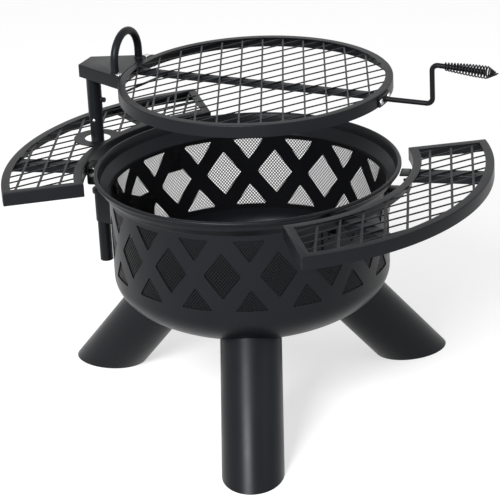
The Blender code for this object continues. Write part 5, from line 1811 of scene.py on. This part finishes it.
class FIREPIT_OT_spring_clip(bpy.types.Operator):
    """Give the clip in the post, which keeps its CAD shape, its finish"""

    bl_idname = "fire_pit.spring_clip"
    bl_label = "Spring clip"

    def execute(self, context):
        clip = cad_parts["button_spring"]
        clip.data.materials.clear()
        clip.data.materials.append(material_of("zinc_steel"))
        return {"FINISHED"}


def mixed_by_rays(tree, light, seen):
    """A shader that is one thing as a light and another where the camera, metal or glass sees it."""
    rays = outputs_of(tree, "LightPath")
    straight = {0: rays["Is Camera Ray"], 1: rays["Is Glossy Ray"]}
    through = {
        0: outputs_of(tree, "Math", straight, operation="MAXIMUM")[0],
        1: rays["Is Transmission Ray"],
    }
    every = outputs_of(tree, "Math", through, operation="MAXIMUM")[0]
    return outputs_of(tree, "MixShader", {"Fac": every, 1: light, 2: seen})[0]


def pale_floor():
    """A large floor that keeps the shadow and is lifted towards white where it is seen."""
    studio = sizes("studio")
    floor = primitive("studio_floor", "plane", size=FLOOR_SIZE)
    pale = bpy.data.materials.new("pale_floor")
    pale.use_nodes = True
    tree = pale.node_tree
    surface = {"Base Color": (*studio.floor, 1), "Roughness": 1.0, "Specular IOR Level": 0.0}
    shader = connect(tree, tree.nodes["Principled BSDF"], surface)[0]
    glow = outputs_of(tree, "Emission", {"Strength": FLOOR_LIFT})[0]
    lifted = outputs_of(tree, "AddShader", {0: shader, 1: glow})[0]
    connect(tree, tree.nodes["Material Output"], {"Surface": mixed_by_rays(tree, shader, lifted)})
    floor.data.materials.append(pale)


def even_light():
    """A world that lights the object evenly and is white where it is seen."""
    world = bpy.data.worlds.new("studio_world")
    bpy.context.scene.world = world
    world.use_nodes = True
    tree = world.node_tree
    white = (1, 1, 1, 1)
    dome = {"Color": white, "Strength": sizes("studio").dome}
    light = connect(tree, tree.nodes["Background"], dome)[0]
    seen = outputs_of(tree, "Background", {"Color": white, "Strength": 1.0})[0]
    connect(tree, tree.nodes["World Output"], {"Surface": mixed_by_rays(tree, light, seen)})


def area_lamp(name, spot, size, power):
    """A large square lamp that points at the bowl."""
    lamp = bpy.data.lights.new(name, "AREA")
    lamp.size = size
    lamp.energy = power
    piece = bpy.data.objects.new(name, lamp)
    bpy.context.scene.collection.objects.link(piece)
    piece.location = spot
    target = Vector((0, 0, sizes("studio").camera_height))
    piece.rotation_euler = (target - Vector(spot)).to_track_quat("-Z", "Y").to_euler()


def photo_camera():
    """A camera at the photograph's viewing angle."""
    studio = sizes("studio")
    camera = bpy.data.cameras.new("photo_camera")
    camera.lens = studio.lens
    camera.sensor_width = 36
    camera.clip_end = 100
    piece = bpy.data.objects.new("photo_camera", camera)
    bpy.context.scene.collection.objects.link(piece)
    tilt = studio.camera_tilt
    roll = studio.camera_roll
    back = studio.camera_distance
    forward = Matrix.Rotation(studio.camera_pan, 3, "Z") @ Vector((0, cos(tilt), -sin(tilt)))
    right = forward.cross(Vector((0, 0, 1))).normalized()
    up = right.cross(forward)
    across = right * cos(roll) + up * sin(roll)
    upwards = up * cos(roll) - right * sin(roll)
    turned_to = Matrix((across, upwards, -forward)).transposed().to_4x4()
    at = Vector((0, -back * cos(tilt), studio.camera_height + back * sin(tilt)))
    piece.matrix_world = Matrix.Translation(at) @ turned_to
    bpy.context.scene.camera = piece


class FIREPIT_OT_stage(bpy.types.Operator):
    """Set up the pale floor, the soft studio light and the camera"""

    bl_idname = "fire_pit.stage"
    bl_label = "Stage"

    def execute(self, context):
        context.scene.view_settings.view_transform = "Standard"
        studio = sizes("studio")
        pale_floor()
        even_light()
        area_lamp("key_lamp", KEY_PLACE, KEY_SIZE, studio.key_power)
        area_lamp("fill_lamp", FILL_PLACE, FILL_SIZE, studio.fill_power)
        photo_camera()
        return {"FINISHED"}


class FIREPIT_PT_panel(bpy.types.Panel):
    """Sizes and steps of the fire pit"""

    bl_idname = "FIREPIT_PT_panel"
    bl_label = "Fire Pit"
    bl_space_type = "VIEW_3D"
    bl_region_type = "UI"
    bl_category = "Fire Pit"

    def draw(self, context):
        column = self.layout.column(align=True)
        for operator in OPERATORS:
            column.operator(operator.bl_idname)
        for name, group in GROUPS.items():
            box = self.layout.box()
            box.label(text=name.capitalize())
            for key in group.__annotations__:
                box.prop(sizes(name), key)


OPERATORS = (
    FIREPIT_OT_stage,
    FIREPIT_OT_bowl,
    FIREPIT_OT_screen,
    FIREPIT_OT_legs,
    FIREPIT_OT_shelf_frames,
    FIREPIT_OT_shelf_nets,
    FIREPIT_OT_shelf_arms,
    FIREPIT_OT_shelf_brackets,
    FIREPIT_OT_bolts,
    FIREPIT_OT_post,
    FIREPIT_OT_post_holder,
    FIREPIT_OT_sleeve,
    FIREPIT_OT_thumb_screw,
    FIREPIT_OT_snap_button,
    FIREPIT_OT_arm,
    FIREPIT_OT_lifting_handle,
    FIREPIT_OT_ring,
    FIREPIT_OT_grate_net,
    FIREPIT_OT_crossbar,
    FIREPIT_OT_handle_plate,
    FIREPIT_OT_handle_rod,
    FIREPIT_OT_spring_grip,
    FIREPIT_OT_spring_clip,
)


def register():
    for kind in (*GROUPS.values(), *OPERATORS, FIREPIT_PT_panel):
        bpy.utils.register_class(kind)
    for name, group in GROUPS.items():
        setattr(bpy.types.Scene, f"fire_pit_{name}", PointerProperty(type=group))


def unregister():
    for name in GROUPS:
        delattr(bpy.types.Scene, f"fire_pit_{name}")
    for kind in reversed((*GROUPS.values(), *OPERATORS, FIREPIT_PT_panel)):
        bpy.utils.unregister_class(kind)


def main():
    register()
    bpy.ops.fire_pit.stage()
    bpy.ops.fire_pit.bowl()
    bpy.ops.fire_pit.screen()
    bpy.ops.fire_pit.legs()
    bpy.ops.fire_pit.shelf_frames()
    bpy.ops.fire_pit.shelf_nets()
    bpy.ops.fire_pit.shelf_arms()
    bpy.ops.fire_pit.shelf_brackets()
    bpy.ops.fire_pit.bolts()
    bpy.ops.fire_pit.post()
    bpy.ops.fire_pit.post_holder()
    bpy.ops.fire_pit.sleeve()
    bpy.ops.fire_pit.thumb_screw()
    bpy.ops.fire_pit.snap_button()
    bpy.ops.fire_pit.arm()
    bpy.ops.fire_pit.lifting_handle()
    bpy.ops.fire_pit.ring()
    bpy.ops.fire_pit.grate_net()
    bpy.ops.fire_pit.crossbar()
    bpy.ops.fire_pit.handle_plate()
    bpy.ops.fire_pit.handle_rod()
    bpy.ops.fire_pit.spring_grip()
    bpy.ops.fire_pit.spring_clip()


if __name__ == "__main__":
    main()
